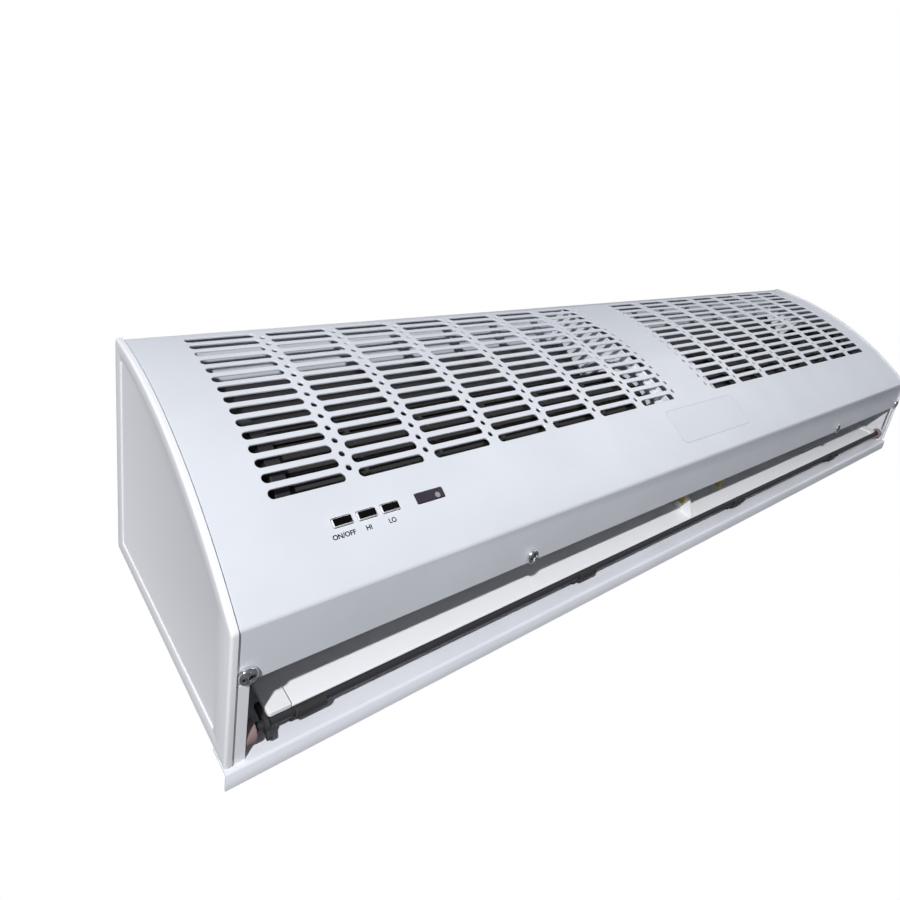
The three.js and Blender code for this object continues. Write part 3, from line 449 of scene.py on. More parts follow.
def add_block(mesh_data: MeshData, x: Span, depth: Span, height: Span) -> None:
    """Add a block between low and high x, depth and height."""
    outline = [(depth[0], height[0]), (depth[1], height[0]), (depth[1], height[1]), (depth[0], height[1])]
    add_prism(mesh_data, outline, x)


def about(middle: float, width: float) -> Span:
    """A span of some width about its middle."""
    return middle - width / 2, middle + width / 2


def baked(piece: Piece) -> Piece:
    """Turn a piece's modifiers into its plain mesh.

    Args:
        piece: The piece.

    Returns:
        The piece.
    """
    depsgraph = bpy.context.evaluated_depsgraph_get()
    mesh = bpy.data.meshes.new_from_object(piece.evaluated_get(depsgraph), depsgraph=depsgraph)
    piece.modifiers.clear()
    piece.data = mesh
    mesh.name = piece.name
    return piece


def softened(piece: Piece, width: float, segments: int = 2, sharp: float = 32) -> Piece:
    """Round a piece's sharp edges and shade it smooth.

    Args:
        piece: The piece.
        width: The bevel's width.
        segments: The bevel's segments.
        sharp: The angle in degrees over which an edge counts as sharp.

    Returns:
        The piece, with a plain mesh.
    """
    piece.data.shade_smooth()
    bevel = piece.modifiers.new("edges", "BEVEL")
    bevel.width = width * MM
    bevel.segments = segments
    bevel.limit_method = "ANGLE"
    bevel.angle_limit = math.radians(sharp)
    bevel.harden_normals = True
    return baked(piece)


def crisp(piece: Piece, sharp: float = 30) -> Piece:
    """Shade a piece smooth except over edges sharper than an angle in degrees."""
    piece.data.shade_smooth()
    piece.data.set_sharp_from_angle(angle=math.radians(sharp))
    return piece


def punched(piece: Piece, cutters: MeshData) -> Piece:
    """Cut a piece with closed, separate cutters.

    Args:
        piece: The piece.
        cutters: The cutters, which are used up.

    Returns:
        The piece.
    """
    tool = new_piece("cutters", cutters)
    boolean = piece.modifiers.new("cut", "BOOLEAN")
    boolean.operation = "DIFFERENCE"
    boolean.solver = "MANIFOLD"
    boolean.object = tool
    baked(piece)
    bpy.data.objects.remove(tool)
    return piece


def extended(piece: Piece, extra: MeshData) -> Piece:
    """Add further shells to a piece's mesh.

    Args:
        piece: The piece.
        extra: The shells, which are used up.

    Returns:
        The piece.
    """
    added = new_piece("added", extra)
    whole = bmesh.new()
    for part in (piece, added):
        whole.from_mesh(part.data)
    whole.to_mesh(piece.data)
    whole.free()
    bpy.data.objects.remove(added)
    return piece


def made(name: str, add: Callable[..., None], *args: object) -> Piece:
    """Make a piece with one function that adds to a bmesh.

    Args:
        name: The piece's name.
        add: The function, such as add_turned.
        args: What it takes after the bmesh.

    Returns:
        The piece.
    """
    mesh_data = bmesh.new()
    add(mesh_data, *args)
    return new_piece(name, mesh_data)


def add_drill(mesh_data: MeshData, radius: float, reach: float, origin: Vector, axis: str,
              sides: int = 24) -> None:
    """Add a round cutter that reaches equally far to both sides of its origin."""
    add_turned(mesh_data, [(0, -reach), (radius, -reach), (radius, reach), (0, reach)], origin, axis, sides)


def tube(bore: float, outer: float, span: Span, corner: float) -> list[Point]:
    """The profile of a tube between two stations, with rounded corners."""
    low, high = span
    return rounded([(bore, low), (outer, low), (outer, high), (bore, high)], corner, closed=True, steps=4)


def dressed(piece: Piece, body: str, finish: Finish, *nodes: str) -> Piece:
    """Give a piece its finish, its body and the CAD nodes that it stands for.

    Args:
        piece: The piece.
        body: The body that it rides on.
        finish: Its finish.
        nodes: The CAD nodes that it replaces.

    Returns:
        The piece.
    """
    piece.data.materials.clear()
    piece.data.materials.append(finish.material())
    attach(piece, body)
    if nodes:
        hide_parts(*nodes)
    LOG.info("%s: %d faces, %s, on %s", piece.name, len(piece.data.polygons), finish.name, body)
    return piece


# ---- geometry node trees


class Graph:
    """A node tree, whose nodes are added together with what goes into their inputs."""

    def __init__(self, tree: bpy.types.NodeTree) -> None:
        """Work on a node tree."""
        self.tree = tree

    def feed(self, socket: Socket, value: object) -> None:
        """Link or set one input.

        Args:
            socket: The input.
            value: A socket, a plain value, or None to leave the input as it is.
        """
        if isinstance(value, Socket):
            self.tree.links.new(value, socket)
        elif value is not None:
            socket.default_value = value

    def node(self, kind: str, *values: object, **settings: object) -> bpy.types.Node:
        """Add a node.

        Args:
            kind: The node's type.
            values: What goes into its inputs: values in order, or one dict by name or number.
            settings: The node's own settings.

        Returns:
            The node.
        """
        node = self.tree.nodes.new(kind)
        for name, setting in settings.items():
            setattr(node, name, setting)
        if values and isinstance(values[0], dict):
            pairs = [(node.inputs[name], value) for name, value in values[0].items()]
        else:
            pairs = zip([socket for socket in node.inputs if socket.enabled], values)
        for socket, value in pairs:
            self.feed(socket, value)
        return node

    def out(self, kind: str, *values: object, **settings: object) -> Socket:
        """Add a node and return its first output."""
        return self.node(kind, *values, **settings).outputs[0]


class Growth(Graph):
    """A Geometry Nodes tree with named inputs, which grows one piece from a base mesh."""

    def __init__(self, name: str) -> None:
        """Start an empty tree with a geometry input and output.

        Args:
            name: The tree's name.
        """
        super().__init__(bpy.data.node_groups.new(name, "GeometryNodeTree"))
        self.values: dict[str, object] = {}
        for label, way in (("Base", "INPUT"), ("Geometry", "OUTPUT")):
            self.tree.interface.new_socket(label, in_out=way, socket_type="NodeSocketGeometry")
        self.entry = self.tree.nodes.new("NodeGroupInput")

    @property
    def base(self) -> Socket:
        """The geometry that the tree starts from."""
        return self.entry.outputs["Base"]

    def size(self, name: str, value: float | int) -> Socket:
        """Add a named input and return its socket.

        Args:
            name: The input's name.
            value: The number that the input gets.

        Returns:
            The input's socket.
        """
        kind = "NodeSocketInt" if isinstance(value, int) else "NodeSocketFloat"
        socket = self.tree.interface.new_socket(name, in_out="INPUT", socket_type=kind)
        self.values[socket.identifier] = value
        return self.entry.outputs[name]

    def sum(self, operation: str, *values: object) -> Socket:
        """A Math node's result."""
        return self.out("ShaderNodeMath", *values, operation=operation)

    plus = partialmethod(sum, "ADD")
    minus = partialmethod(sum, "SUBTRACT")
    times = partialmethod(sum, "MULTIPLY")
    over = partialmethod(sum, "DIVIDE")

    def vector(self, x: object = 0.0, y: object = 0.0, z: object = 0.0) -> Socket:
        """A vector put together from three values."""
        return self.out("ShaderNodeCombineXYZ", x, y, z)

    def joined(self, *geometries: Socket) -> Socket:
        """Several geometries as one.

        Args:
            geometries: The geometries.

        Returns:
            The joined geometry.
        """
        node = self.tree.nodes.new("GeometryNodeJoinGeometry")
        for geometry in geometries:
            self.tree.links.new(geometry, node.inputs[0])
        return node.outputs[0]

    def moved(self, geometry: object, offset: object, rotation: object = None) -> Socket:
        """A geometry moved and turned."""
        return self.out("GeometryNodeTransform", geometry, offset, rotation)

    def instanced(self, points: object, instance: object, rotation: object = None) -> Socket:
        """Copies of a geometry on points, made real."""
        copies = self.node("GeometryNodeInstanceOnPoints", points, None, instance, None, None, rotation)
        return self.out("GeometryNodeRealizeInstances", copies.outputs[0])

    def grown(self, name: str, geometry: Socket, finish: Finish, base: Piece | None = None) -> Piece:
        """End the tree, run it and return its result as a plain piece.

        Args:
            name: The piece's name.
            geometry: The socket that holds the finished geometry.
            finish: The finish that Set Material puts on it.
            base: The piece whose mesh the tree starts from, or None.

        Returns:
            The piece, with a plain mesh and no modifier.
        """
        real = self.out("GeometryNodeRealizeInstances", geometry)
        painted = self.out("GeometryNodeSetMaterial", real, None, finish.material())
        exit_node = self.tree.nodes.new("NodeGroupOutput")
        self.tree.links.new(painted, exit_node.inputs[0])
        piece = base or new_piece(name, bmesh.new())
        piece.name = name
        modifier = piece.modifiers.new(self.tree.name, "NODES")
        modifier.node_group = self.tree
        for identifier, value in self.values.items():
            modifier[identifier] = value
        return baked(piece)


# ---- finishes


def linear(red: int, green: int, blue: int) -> tuple[float, float, float, float]:
    """A colour written in the usual 0 to 255 as the linear colour that shaders take."""
    channels = [value / 255 for value in (red, green, blue)]
    return (*[c / 12.92 if c <= 0.04045 else ((c + 0.055) / 1.055) ** 2.4 for c in channels], 1.0)


class Shading(Graph):
    """A material's or the world's node tree."""

    def scaled(self, size: float, stretch: Triple = (1, 1, 1)) -> Socket:
        """Object coordinates over a feature size in millimetres, stretched along the axes."""
        place = self.node("ShaderNodeTexCoord").outputs["Object"]
        scale = tuple(1 / (size * MM * along) for along in stretch)
        return self.out("ShaderNodeMapping", {"Vector": place, "Scale": scale})

    def noise(self, size: float, detail: float, stretch: Triple = (1, 1, 1)) -> Socket:
        """A noise of some feature size in millimetres, stretched along the axes."""
        inputs = {"Vector": self.scaled(size, stretch), "Scale": 1, "Detail": detail}
        return self.node("ShaderNodeTexNoise", inputs).outputs["Fac"]

    def ranged(self, value: Socket, low: float, high: float) -> Socket:
        """A noise value spread between two ends."""
        inputs = {"Value": value, "From Min": 0.3, "From Max": 0.7, "To Min": low, "To Max": high}
        return self.out("ShaderNodeMapRange", inputs)


BROAD_NOISE = 60
BRUSHED_STRETCH = (30, 1, 1)


class Grain(Enum):
    """The small relief that a finish has."""

    ORANGE_PEEL = "orange peel"
    MOULDED = "moulded"
    BRUSHED = "brushed"
    SPANGLE = "spangle"
    SMOOTH = "smooth"


@dataclass(frozen=True)
class Finish:
    """A surface finish, made once as a procedural material."""

    name: str
    slot: str
    colour: tuple[int, int, int]
    roughness: float
    grain: Grain
    metallic: float = 0
    grain_size: float = 1.6
    relief: float = 0.02
    mottle: float = 0.03
    specular: float = 0.5
    coat: float = 0

    def material(self) -> bpy.types.Material:
        """Find or build the material.

        Returns:
            The material: base colour and roughness vary with noise, and the grain is a bump.
        """
        known = bpy.data.materials.get(self.name)
        if known:
            return known
        material = bpy.data.materials.new(self.name)
        material.use_nodes = True
        graph = Shading(material.node_tree)
        tone, height = graph.noise(BROAD_NOISE, 3), graph.noise(self.grain_size, 2)
        if self.grain is Grain.BRUSHED:
            height = graph.noise(self.grain_size, 3, BRUSHED_STRETCH)
        if self.grain is Grain.SPANGLE:
            cells = graph.node("ShaderNodeTexVoronoi", {"Vector": graph.scaled(self.grain_size), "Scale": 1})
            tone = graph.out("ShaderNodeRGBToBW", {0: cells.outputs["Color"]})
            height = cells.outputs["Distance"]
        dark, light = ((*[min(1, c * (1 + shift)) for c in linear(*self.colour)[:3]], 1)
                       for shift in (-self.mottle, self.mottle))
        blend = graph.node("ShaderNodeMix", {"Factor": graph.ranged(tone, 0, 1), "A": dark, "B": light},
                           data_type="RGBA")
        dull = graph.ranged(graph.noise(self.grain_size * 6, 4), self.roughness * 0.85,
                            min(1, self.roughness * 1.15))
        inputs = {"Base Color": blend.outputs["Result"], "Roughness": dull, "Metallic": self.metallic,
                  "Specular IOR Level": self.specular, "Coat Weight": self.coat, "Coat Roughness": 0.12}
        if self.grain is not Grain.SMOOTH:
            bump = {"Strength": 0.5, "Distance": self.relief * MM, "Height": height}
            inputs["Normal"] = graph.out("ShaderNodeBump", bump)
        shader = material.node_tree.nodes["Principled BSDF"]
        for name, value in inputs.items():
            graph.feed(shader.inputs[name], value)
        return material



POWDER_COAT = Finish("white_powder_coat", "cover_paint", (226, 230, 238), 0.38, Grain.ORANGE_PEEL, coat=0.15)
PAN_COAT = Finish("pan_powder_coat", "cover_paint", (234, 237, 245), 0.42, Grain.ORANGE_PEEL, coat=0.1)
CAP_PLASTIC = Finish("cap_plastic", "cap_plastic", (220, 223, 230), 0.42, Grain.MOULDED, grain_size=0.6,
                     relief=0.01)
VANE_WHITE = Finish("vane_white", "vane_white", (242, 245, 252), 0.22, Grain.ORANGE_PEEL, relief=0.008,
                    coat=0.3)
WHITE_PLASTIC = Finish("white_plastic", "white_plastic", (222, 224, 230), 0.4, Grain.MOULDED, grain_size=0.8)
BLACK_PLASTIC = Finish("black_plastic", "black_plastic", (10, 10, 11), 0.42, Grain.MOULDED, grain_size=0.5,
                       mottle=0.2, specular=0.1)
KEY_BLACK = Finish("key_black", "black_plastic", (5, 5, 6), 0.5, Grain.MOULDED, grain_size=0.4, relief=0.008,
                   mottle=0.2, specular=0.08)
# Black for the rear guides and outer end plates: partly a guessed paint, partly painted shade that darkens
# the interior seen through the grille and outlet.
BLACK_PAINT_AND_SHADE = Finish("black_paint", "black_paint", (6, 6, 7), 0.55, Grain.ORANGE_PEEL, mottle=0.15,
                     specular=0.12)
BLACK_ROD = Finish("black_rod", "black_rod", (11, 11, 12), 0.42, Grain.BRUSHED, grain_size=0.5, mottle=0.15,
                   specular=0.12)
GALVANISED = Finish("galvanised_steel", "galvanised_steel", (176, 181, 186), 0.42, Grain.SPANGLE,
                    metallic=0.85, grain_size=7, relief=0.01, mottle=0.12)
YELLOW_ZINC = Finish("yellow_zinc", "yellow_zinc", (190, 158, 62), 0.34, Grain.BRUSHED, metallic=0.85,
                     grain_size=1.5, relief=0.006, mottle=0.18)
MOTOR_STEEL = Finish("motor_steel", "motor_steel", (140, 144, 148), 0.48, Grain.BRUSHED, metallic=0.7,
                     mottle=0.1)
BRIGHT_STEEL = Finish("bright_steel", "bright_steel", (228, 230, 232), 0.34, Grain.BRUSHED, metallic=1,
                      grain_size=0.4, relief=0.004, mottle=0.06)
BRONZE = Finish("sintered_bronze", "bronze", (140, 106, 60), 0.45, Grain.MOULDED, metallic=0.9,
                grain_size=0.3, mottle=0.12)
RUBBER = Finish("black_rubber", "rubber", (28, 28, 30), 0.75, Grain.MOULDED, grain_size=0.5, mottle=0.15,
                specular=0.3)
BROWN_RUBBER = Finish("brown_rubber", "brown_rubber", (66, 42, 40), 0.7, Grain.MOULDED, grain_size=0.5,
                      mottle=0.15, specular=0.06)
DARK_WINDOW = Finish("dark_window", "dark_window", (5, 4, 7), 0.3, Grain.SMOOTH, mottle=0.1, specular=0.03)
CIRCUIT_BOARD = Finish("circuit_board", "circuit_board", (46, 107, 69), 0.45, Grain.MOULDED, mottle=0.15)
PRINT = Finish("printed_ink", "black_plastic", (14, 15, 18), 0.5, Grain.SMOOTH, mottle=0.1, specular=0.2)
PRINT_GREY = Finish("grey_ink", "cover_paint", (176, 180, 188), 0.45, Grain.SMOOTH)
PLATE_WHITE = Finish("blank_plate", "white_plastic", (224, 228, 236), 0.36, Grain.SMOOTH, mottle=0.01)
FLOOR = Finish("pale_floor", "floor", (150, 150, 151), 0.8, Grain.MOULDED, grain_size=4)
LENS = Finish("receiver_lens", "dark_window", (150, 150, 152), 0.3, Grain.SMOOTH, mottle=0.1)


# ---- on the arch


def on_arch(x: float, arc: float, u: float, v: float, lift: float) -> Vector:
    """A point near the arch: u along the unit and v up the slope in the tangent plane at an arc length."""
    depth, height = CASE.arch_point(arc, lift)
    angle = CASE.angle(arc)
    return CASE.row(x + u, depth - v * math.sin(angle), height + v * math.cos(angle))


def rounded_box(length: float, width: float, radius: float, steps: int = 5) -> list[Point]:
    """The outline of a rectangle with rounded corners about its middle."""
    a, b = length / 2, width / 2
    return rounded([(-a, -b), (a, -b), (a, b), (-a, b)], radius, closed=True, steps=steps)


def arch_loft(mesh_data: MeshData, x: float, arc: float,
              layers: Iterable[tuple[Sequence[Point], float]]) -> None:
    """Add a solid on the arch from outlines (u, v), each at its own lift."""
    add_loft(mesh_data, [[on_arch(x, arc, u, v, lift) for u, v in outline] for outline, lift in layers])


# ---- casing


@dataclass
class Casing:
    """The sheets of the shell: front cover, back pan and wall plate, with the pan's grommet."""

    grille: GrilleSizes = GrilleSizes()
    bend_radius: float = 3
    arch_step: float = 1.7
    edge_round: float = 0.35
    bend_clear: Span = (2.2, 1.4)
    pan_lip: float = 3.5
    pan_bend: float = 2.2
    plate_bend: float = 2
    lip_inner_reach: float = 14
    pan_half: float = 443
    plate_half: float = 350
    plate_half_height: float = 58
    plate_flange: float = 8
    plate_slot: Span = (22, 7)
    plate_slot_rise: float = 36
    plate_slot_x: Triple = (-300, 0, 300)
    plate_cut: Span = (-2, 3)
    grommet: Span = (420, 150)
    grommet_radius: float = 9

    def cover_line(self) -> list[Point]:
        """The cover's outer section line, from the wall over the arch to the outlet.

        Returns:
            The line in depth and height.
        """
        clear_top, clear_foot = (share * self.bend_radius for share in self.bend_clear)
        reach = CASE.arc_length - clear_top - clear_foot
        steps = round(reach / self.arch_step)
        arch = [CASE.arch_point(clear_top + reach * i / steps) for i in range(steps + 1)]
        line = [(CASE.gap, CASE.height), (CASE.top_depth, CASE.height), *arch,
                (CASE.foot_depth, 0), (CASE.flange_edge, 0)]
        radii = [0, self.bend_radius, *[0] * len(arch), self.bend_radius, 0]
        return rounded(line, radii, steps=8)

    def perforate(self, cover: Piece) -> Piece:
        """Cut the grille's slots and dots with Geometry Nodes: flat punches, bent round the arch.

        Args:
            cover: The cover.

        Returns:
            The cover with its holes.
        """
        sizes, tree = self.grille, Growth("cover_perforations")
        columns = tree.size("Slot columns", 2 * sizes.side_columns + 1)
        rows = tree.size("Slot rows", sizes.rows)
        column_pitch = tree.size("Column pitch", sizes.column_pitch * MM)
        row_pitch = tree.size("Row pitch", sizes.row_pitch * MM)
        slot_length = tree.size("Slot length", sizes.slot_length * MM)
        slot_width = tree.size("Slot width", sizes.slot_width * MM)
        dot_radius = tree.size("Dot radius", sizes.dot_radius * MM)
        first_row = tree.size("First row", sizes.first_row * MM)
        edge = tree.size("Softened edge", sizes.edge * MM)
        below = tree.size("Punch reach below the skin", 2 * CASE.sheet * MM)
        radius = tree.size("Arch radius", CASE.arch_radius * MM)
        centre = CASE.row(0, *CASE.centre)
        centre_y = tree.size("Arch centre y", centre.y)
        centre_z = tree.size("Arch centre z", centre.z)
        top_angle = tree.size("Arch angle at the top edge", CASE.angle(0))

        def punch(outline: Socket, length: object, width: object) -> Socket:
            """A closed punch under a flat outline, flared at the skin to soften the hole's edge.

            Args:
                outline: The flat outline, a curve.
                length: Its length along the unit.
                width: Its width.

            Returns:
                The punch.
            """
            face = tree.out("GeometryNodeFillCurve", outline, mode="NGONS")
            face = tree.moved(face, tree.vector(z=tree.times(below, -1.0)))
            rise = tree.vector(z=tree.minus(below, edge))
            shank = tree.node("GeometryNodeExtrudeMesh", face, None, rise, 1.0, False)
            flare = tree.vector(z=tree.times(edge, 2.0))
            top = shank.outputs["Top"]
            head = tree.node("GeometryNodeExtrudeMesh", shank.outputs[0], top, flare, 1.0, False)
            share = [tree.sum("MULTIPLY_ADD", tree.over(edge, across), 4.0, 1.0) for across in (length,
                                                                                                width)]
            place = tree.out("GeometryNodeInputPosition")
            wider = tree.out("ShaderNodeVectorMath", place, tree.vector(*share, 1.0), operation="MULTIPLY")
            flared = tree.out("GeometryNodeSetPosition", head.outputs[0], head.outputs["Top"], wider)
            bottom = tree.out("GeometryNodeFlipFaces", face)
            return tree.out("GeometryNodeMergeByDistance", tree.joined(flared, bottom), None, 1e-6)

        def grid(across: Socket, down: Socket) -> Socket:
            """Points at the grille's pitches."""
            width = tree.times(tree.minus(across, 1.0), column_pitch)
            height = tree.times(tree.minus(down, 1.0), row_pitch)
            return tree.out("GeometryNodeMeshGrid", width, height, across, down)

        slot = tree.out("GeometryNodeCurvePrimitiveQuadrilateral", slot_length, slot_width)
        half_width = tree.times(slot_width, self.grille.end_round)
        slot = tree.out("GeometryNodeFilletCurve", slot, 7, half_width, True, mode="POLY")
        slots = tree.instanced(grid(columns, rows), punch(slot, slot_length, slot_width))
        where = tree.node("ShaderNodeSeparateXYZ", tree.out("GeometryNodeInputPosition")).outputs
        in_middle = tree.out("FunctionNodeCompare", tree.sum("ABSOLUTE", where[0]),
                             tree.times(column_pitch, 0.5), operation="LESS_THAN")
        slots = tree.out("GeometryNodeDeleteGeometry", slots, in_middle)
        dot = tree.out("GeometryNodeCurvePrimitiveCircle", 16, dot_radius)
        dot_across = tree.times(dot_radius, 2.0)
        dots = tree.instanced(grid(tree.minus(columns, 1.0), tree.minus(rows, 1.0)),
                              punch(dot, dot_across, dot_across))
        half_rows = tree.times(tree.minus(rows, 1.0), 0.5)
        middle_row = tree.sum("MULTIPLY_ADD", half_rows, row_pitch, first_row)
        flat = tree.moved(tree.joined(slots, dots), tree.vector(y=tree.times(middle_row, -1.0)))
        angle = tree.plus(tree.over(where[1], radius), top_angle)
        reach = tree.plus(radius, where[2])
        y = tree.minus(centre_y, tree.times(reach, tree.sum("COSINE", angle)))
        z = tree.sum("MULTIPLY_ADD", reach, tree.sum("SINE", angle), centre_z)
        bent = tree.out("GeometryNodeSetPosition", flat, None, tree.vector(where[0], y, z))
        cut = tree.out("GeometryNodeMeshBoolean", tree.base, bent, operation="DIFFERENCE", solver="MANIFOLD")
        return tree.grown("cover", cut, POWDER_COAT, cover)

    def front_cover(self, windows: Sequence[tuple[float, float, float, float]]) -> None:
        """Make the cover: bend the sheet, then cut its windows, screw holes and grille.

        Args:
            windows: Each window's x, length, width and corner radius, on the control line.
        """
        cover = made("cover", add_sheet, self.cover_line(), -CASE.sheet, (-CASE.cover_half, CASE.cover_half))
        softened(cover, self.edge_round)
        cutters = bmesh.new()
        arc, reach = CASE.arc_length - CASE.control_from_foot, 3 * CASE.sheet
        for x, length, width, radius in windows:
            outline = rounded_box(length, width, radius)
            arch_loft(cutters, x, arc, [(outline, -reach), (outline, reach)])
        for x in (-SCREW.outer_x, -SCREW.inner_x, SCREW.inner_x, SCREW.outer_x):
            SCREW.drill(cutters, x, reach)
        cover = crisp(self.perforate(punched(cover, cutters)))
        self.true_skin(cover)
        dressed(cover, "housing", POWDER_COAT, "front_cover")

    def true_skin(self, cover: Piece) -> None:
        """Give the skin its arch's own normals, so that the long faces between the holes shade evenly.

        Args:
            cover: The cover.
        """
        mesh = cover.data
        centre = CASE.row(0, *CASE.centre)
        normals = [Vector(corner.vector) for corner in mesh.corner_normals]
        near = 0.01 * MM
        for face in mesh.polygons:
            arms = [mesh.vertices[i].co - centre for i in face.vertices]
            arms = [Vector((0, arm.y, arm.z)) for arm in arms]
            for radius, sense in ((CASE.arch_radius * MM, 1), ((CASE.arch_radius - CASE.sheet) * MM, -1)):
                if all(abs(arm.length - radius) < near for arm in arms):
                    for loop, arm in zip(face.loop_indices, arms):
                        normals[loop] = arm.normalized() * sense
        mesh.normals_split_custom_set(normals)

    def back_pan(self) -> None:
        """Make the pan: a tray open to the wall, with its lip, side hems and cable hole."""
        top = CASE.height - CASE.sheet - CASE.gap
        depth = CASE.pan_standoff
        line = rounded([(0, -self.pan_lip), (depth, -self.pan_lip), (depth, top), (0, top)],
                       self.pan_bend)
        pan = softened(made("pan", add_sheet, line, CASE.sheet, (-CASE.half, CASE.half)), self.edge_round)
        cutters = bmesh.new()
        past = 2
        for side in Side:
            add_block(cutters, side.span(self.pan_half, CASE.half + past), (-past, depth + past),
                      (self.lip_inner_reach, CASE.height + past))
        middle = CASE.row(self.grommet[0], depth - CASE.sheet / 2, self.grommet[1])
        add_drill(cutters, self.grommet_radius, past, middle, "Y", 32)
        punched(pan, cutters)
        hems = bmesh.new()
        for side in Side:
            add_block(hems, side.span(self.pan_half - CASE.sheet, self.pan_half), (0, depth - CASE.sheet / 2),
                      (self.lip_inner_reach / 2, top - CASE.sheet / 2))
        dressed(crisp(pan), "housing", PAN_COAT, "back_pan")
        dressed(softened(new_piece("pan_hems", hems), self.edge_round), "housing", PAN_COAT)

    def wall_plate(self) -> None:
        """Make the slotted plate that is screwed to the wall first."""
        reach = CASE.pan_standoff - CASE.sheet - CASE.gap
        low, high = CASE.height / 2 - self.plate_half_height, CASE.height / 2 + self.plate_half_height
        line = rounded([(reach, low), (0, low), (0, high), (reach, high), (reach, high - self.plate_flange)],
                       self.plate_bend)
        plate = made("wall_plate_sheet", add_sheet, line, -CASE.sheet, (-self.plate_half, self.plate_half))
        softened(plate, self.edge_round)
        cutters = bmesh.new()
        outline = rounded_box(*self.plate_slot, self.plate_slot[1] / 2 - 0.1, steps=8)
        for x in self.plate_slot_x:
            for rise in (-self.plate_slot_rise, self.plate_slot_rise):
                middle = CASE.height / 2 + rise
                add_loft(cutters, [[CASE.row(x + u, depth, middle + v) for u, v in outline]
                                   for depth in self.plate_cut])
        punched(plate, cutters)
        dressed(crisp(plate), "housing", GALVANISED, "wall_plate")

    def cable_grommet(self) -> None:
        """Make the grommet in the pan's cable hole."""
        bore, outer, groove, half, end = 4.5, 11.5, 8.7, 0.9, 0.9 + 2.5
        profile = rounded([
            (bore, -end), (outer, -end), (outer, -half), (groove, -half),
            (groove, half), (outer, half), (outer, end), (bore, end),
        ], [0.9, 1.1, 0.3, 0, 0, 0.3, 1.1, 0.9], closed=True, steps=4)
        x, height = self.grommet
        place = CASE.row(x, CASE.pan_standoff - CASE.sheet / 2, height)
        ring = made("grommet", add_turned, profile, place, "Y", 48)
        dressed(crisp(ring), "housing", RUBBER, "cable_grommet")


@dataclass
class EndCap:
    """A moulded cap with a rounded rim, a sunk panel, a skirt and a boss."""

    side: Side
    proud: float = 1.2
    round_over: float = 1.6
    panel_recess: float = 0.9
    panel: tuple[float, float, float, float] = (10.7, 11, 8, 15)
    panel_steps: tuple[float, float, float, float] = (-0.4, -0.1, 0.3, 0.7)
    panel_ease: float = 0.12
    corner: float = 4
    back_corner: float = 1.5
    arch_steps: int = 28
    skirt_wall: float = 2
    skirt_arc: Span = (0.02, 0.95)

    def loop(self, back: float, top: float, arch: float, foot: float) -> list[Point]:
        """A closed line inset from the casing's section by its own distance on each side.

        Args:
            back: The inset at the pan.
            top: The inset at the top.
            arch: The inset at the arch.
            foot: The inset at the outlet.

        Returns:
            The line in depth and height.
        """
        base = CASE.pan_standoff + CASE.gap + back
        high, low = CASE.height - top, foot
        centre_depth, centre_height = CASE.centre
        radius = CASE.arch_radius - arch
        first = math.asin((high - centre_height) / radius)
        last = math.asin((low - centre_height) / radius)
        edge = [(centre_depth + radius * math.cos(a), centre_height + radius * math.sin(a))
                for a in (first + (last - first) * i / self.arch_steps for i in range(self.arch_steps + 1))]
        ends = (self.back_corner, self.corner)
        radii = [*ends, *[0] * (self.arch_steps - 1), *ends[::-1]]
        return rounded([(base, high), *edge, (base, low)], radii, closed=True)

    def build(self) -> None:
        """Make the cap in the frame's place, with its skirt and boss."""
        lift, inner, outer = self.proud, CASE.cover_half + CASE.gap, CASE.half
        steps = 5
        rows = [((0, -lift, -lift, -lift), inner)]
        for i in range(steps + 1):
            turn = math.pi / 2 * i / steps
            inset = self.round_over * (1 - math.cos(turn)) - lift
            x = outer - self.round_over * (1 - math.sin(turn))
            rows.append(((inset + lift, inset, inset, inset), x))
        sunk, ease = self.panel_recess, self.panel_ease
        for grow, sink in zip(self.panel_steps, (0, ease, sunk - ease, sunk)):
            rows.append((tuple(inset + grow for inset in self.panel), outer - sink))
        loops = [[CASE.row(self.side.value * x, *point) for point in self.loop(*insets)] for insets,
                 x in rows]
        cap = made(f"{self.side.word}_cap", add_loft, loops)
        dressed(crisp(cap, 40), "housing", CAP_PLASTIC, f"{self.side.word}_end_cap")
        self.skirt()

    def skirt(self) -> None:
        """Make the skirt inside the cover, flush with it where the outlet leaves it bare, and the boss."""
        low, high = self.side.span(CASE.skirt_x, CASE.cover_half + 2 * CASE.gap)
        outer, inner = self.skirt_loop(0), self.skirt_loop(self.skirt_wall)
        shell = bmesh.new()
        loops = [[CASE.row(x, *point) for point in loop] for loop, x in
                 ((outer, low), (outer, high), (inner, high), (inner, low))]
        add_loft(shell, loops, closed=True)
        boss = [(0, 0), (VANE.bush_radius, 0), (VANE.bush_radius, high - low), (0, high - low)]
        add_turned(shell, boss, CASE.row(low, *VANE.axis), "X")
        skirt = softened(new_piece(f"{self.side.word}_cap_skirt", shell), 0.3)
        hole = bmesh.new()
        SCREW.drill(hole, self.side.value * SCREW.outer_x)
        dressed(crisp(punched(skirt, hole)), "housing", CAP_PLASTIC)

    def skirt_loop(self, inset: float) -> list[Point]:
        """The skirt's outline at some distance inside its outer face.

        Args:
            inset: The distance inside the outer face.

        Returns:
            The outline in depth and height.
        """
        under = CASE.sheet + CASE.gap + inset
        base = CASE.pan_standoff + CASE.gap + inset
        step = CASE.flange_edge - CASE.gap - inset
        first, share = self.skirt_arc
        edge = [CASE.arch_point(CASE.arc_length * (first + share * i / self.arch_steps), -under)
                for i in range(self.arch_steps + 1)]
        return [(base, CASE.height - under), (edge[0][0], CASE.height - under), *edge,
                (CASE.arch_depth(under, -under), under), (step, under), (step, inset), (base, inset)]


# ---- air path


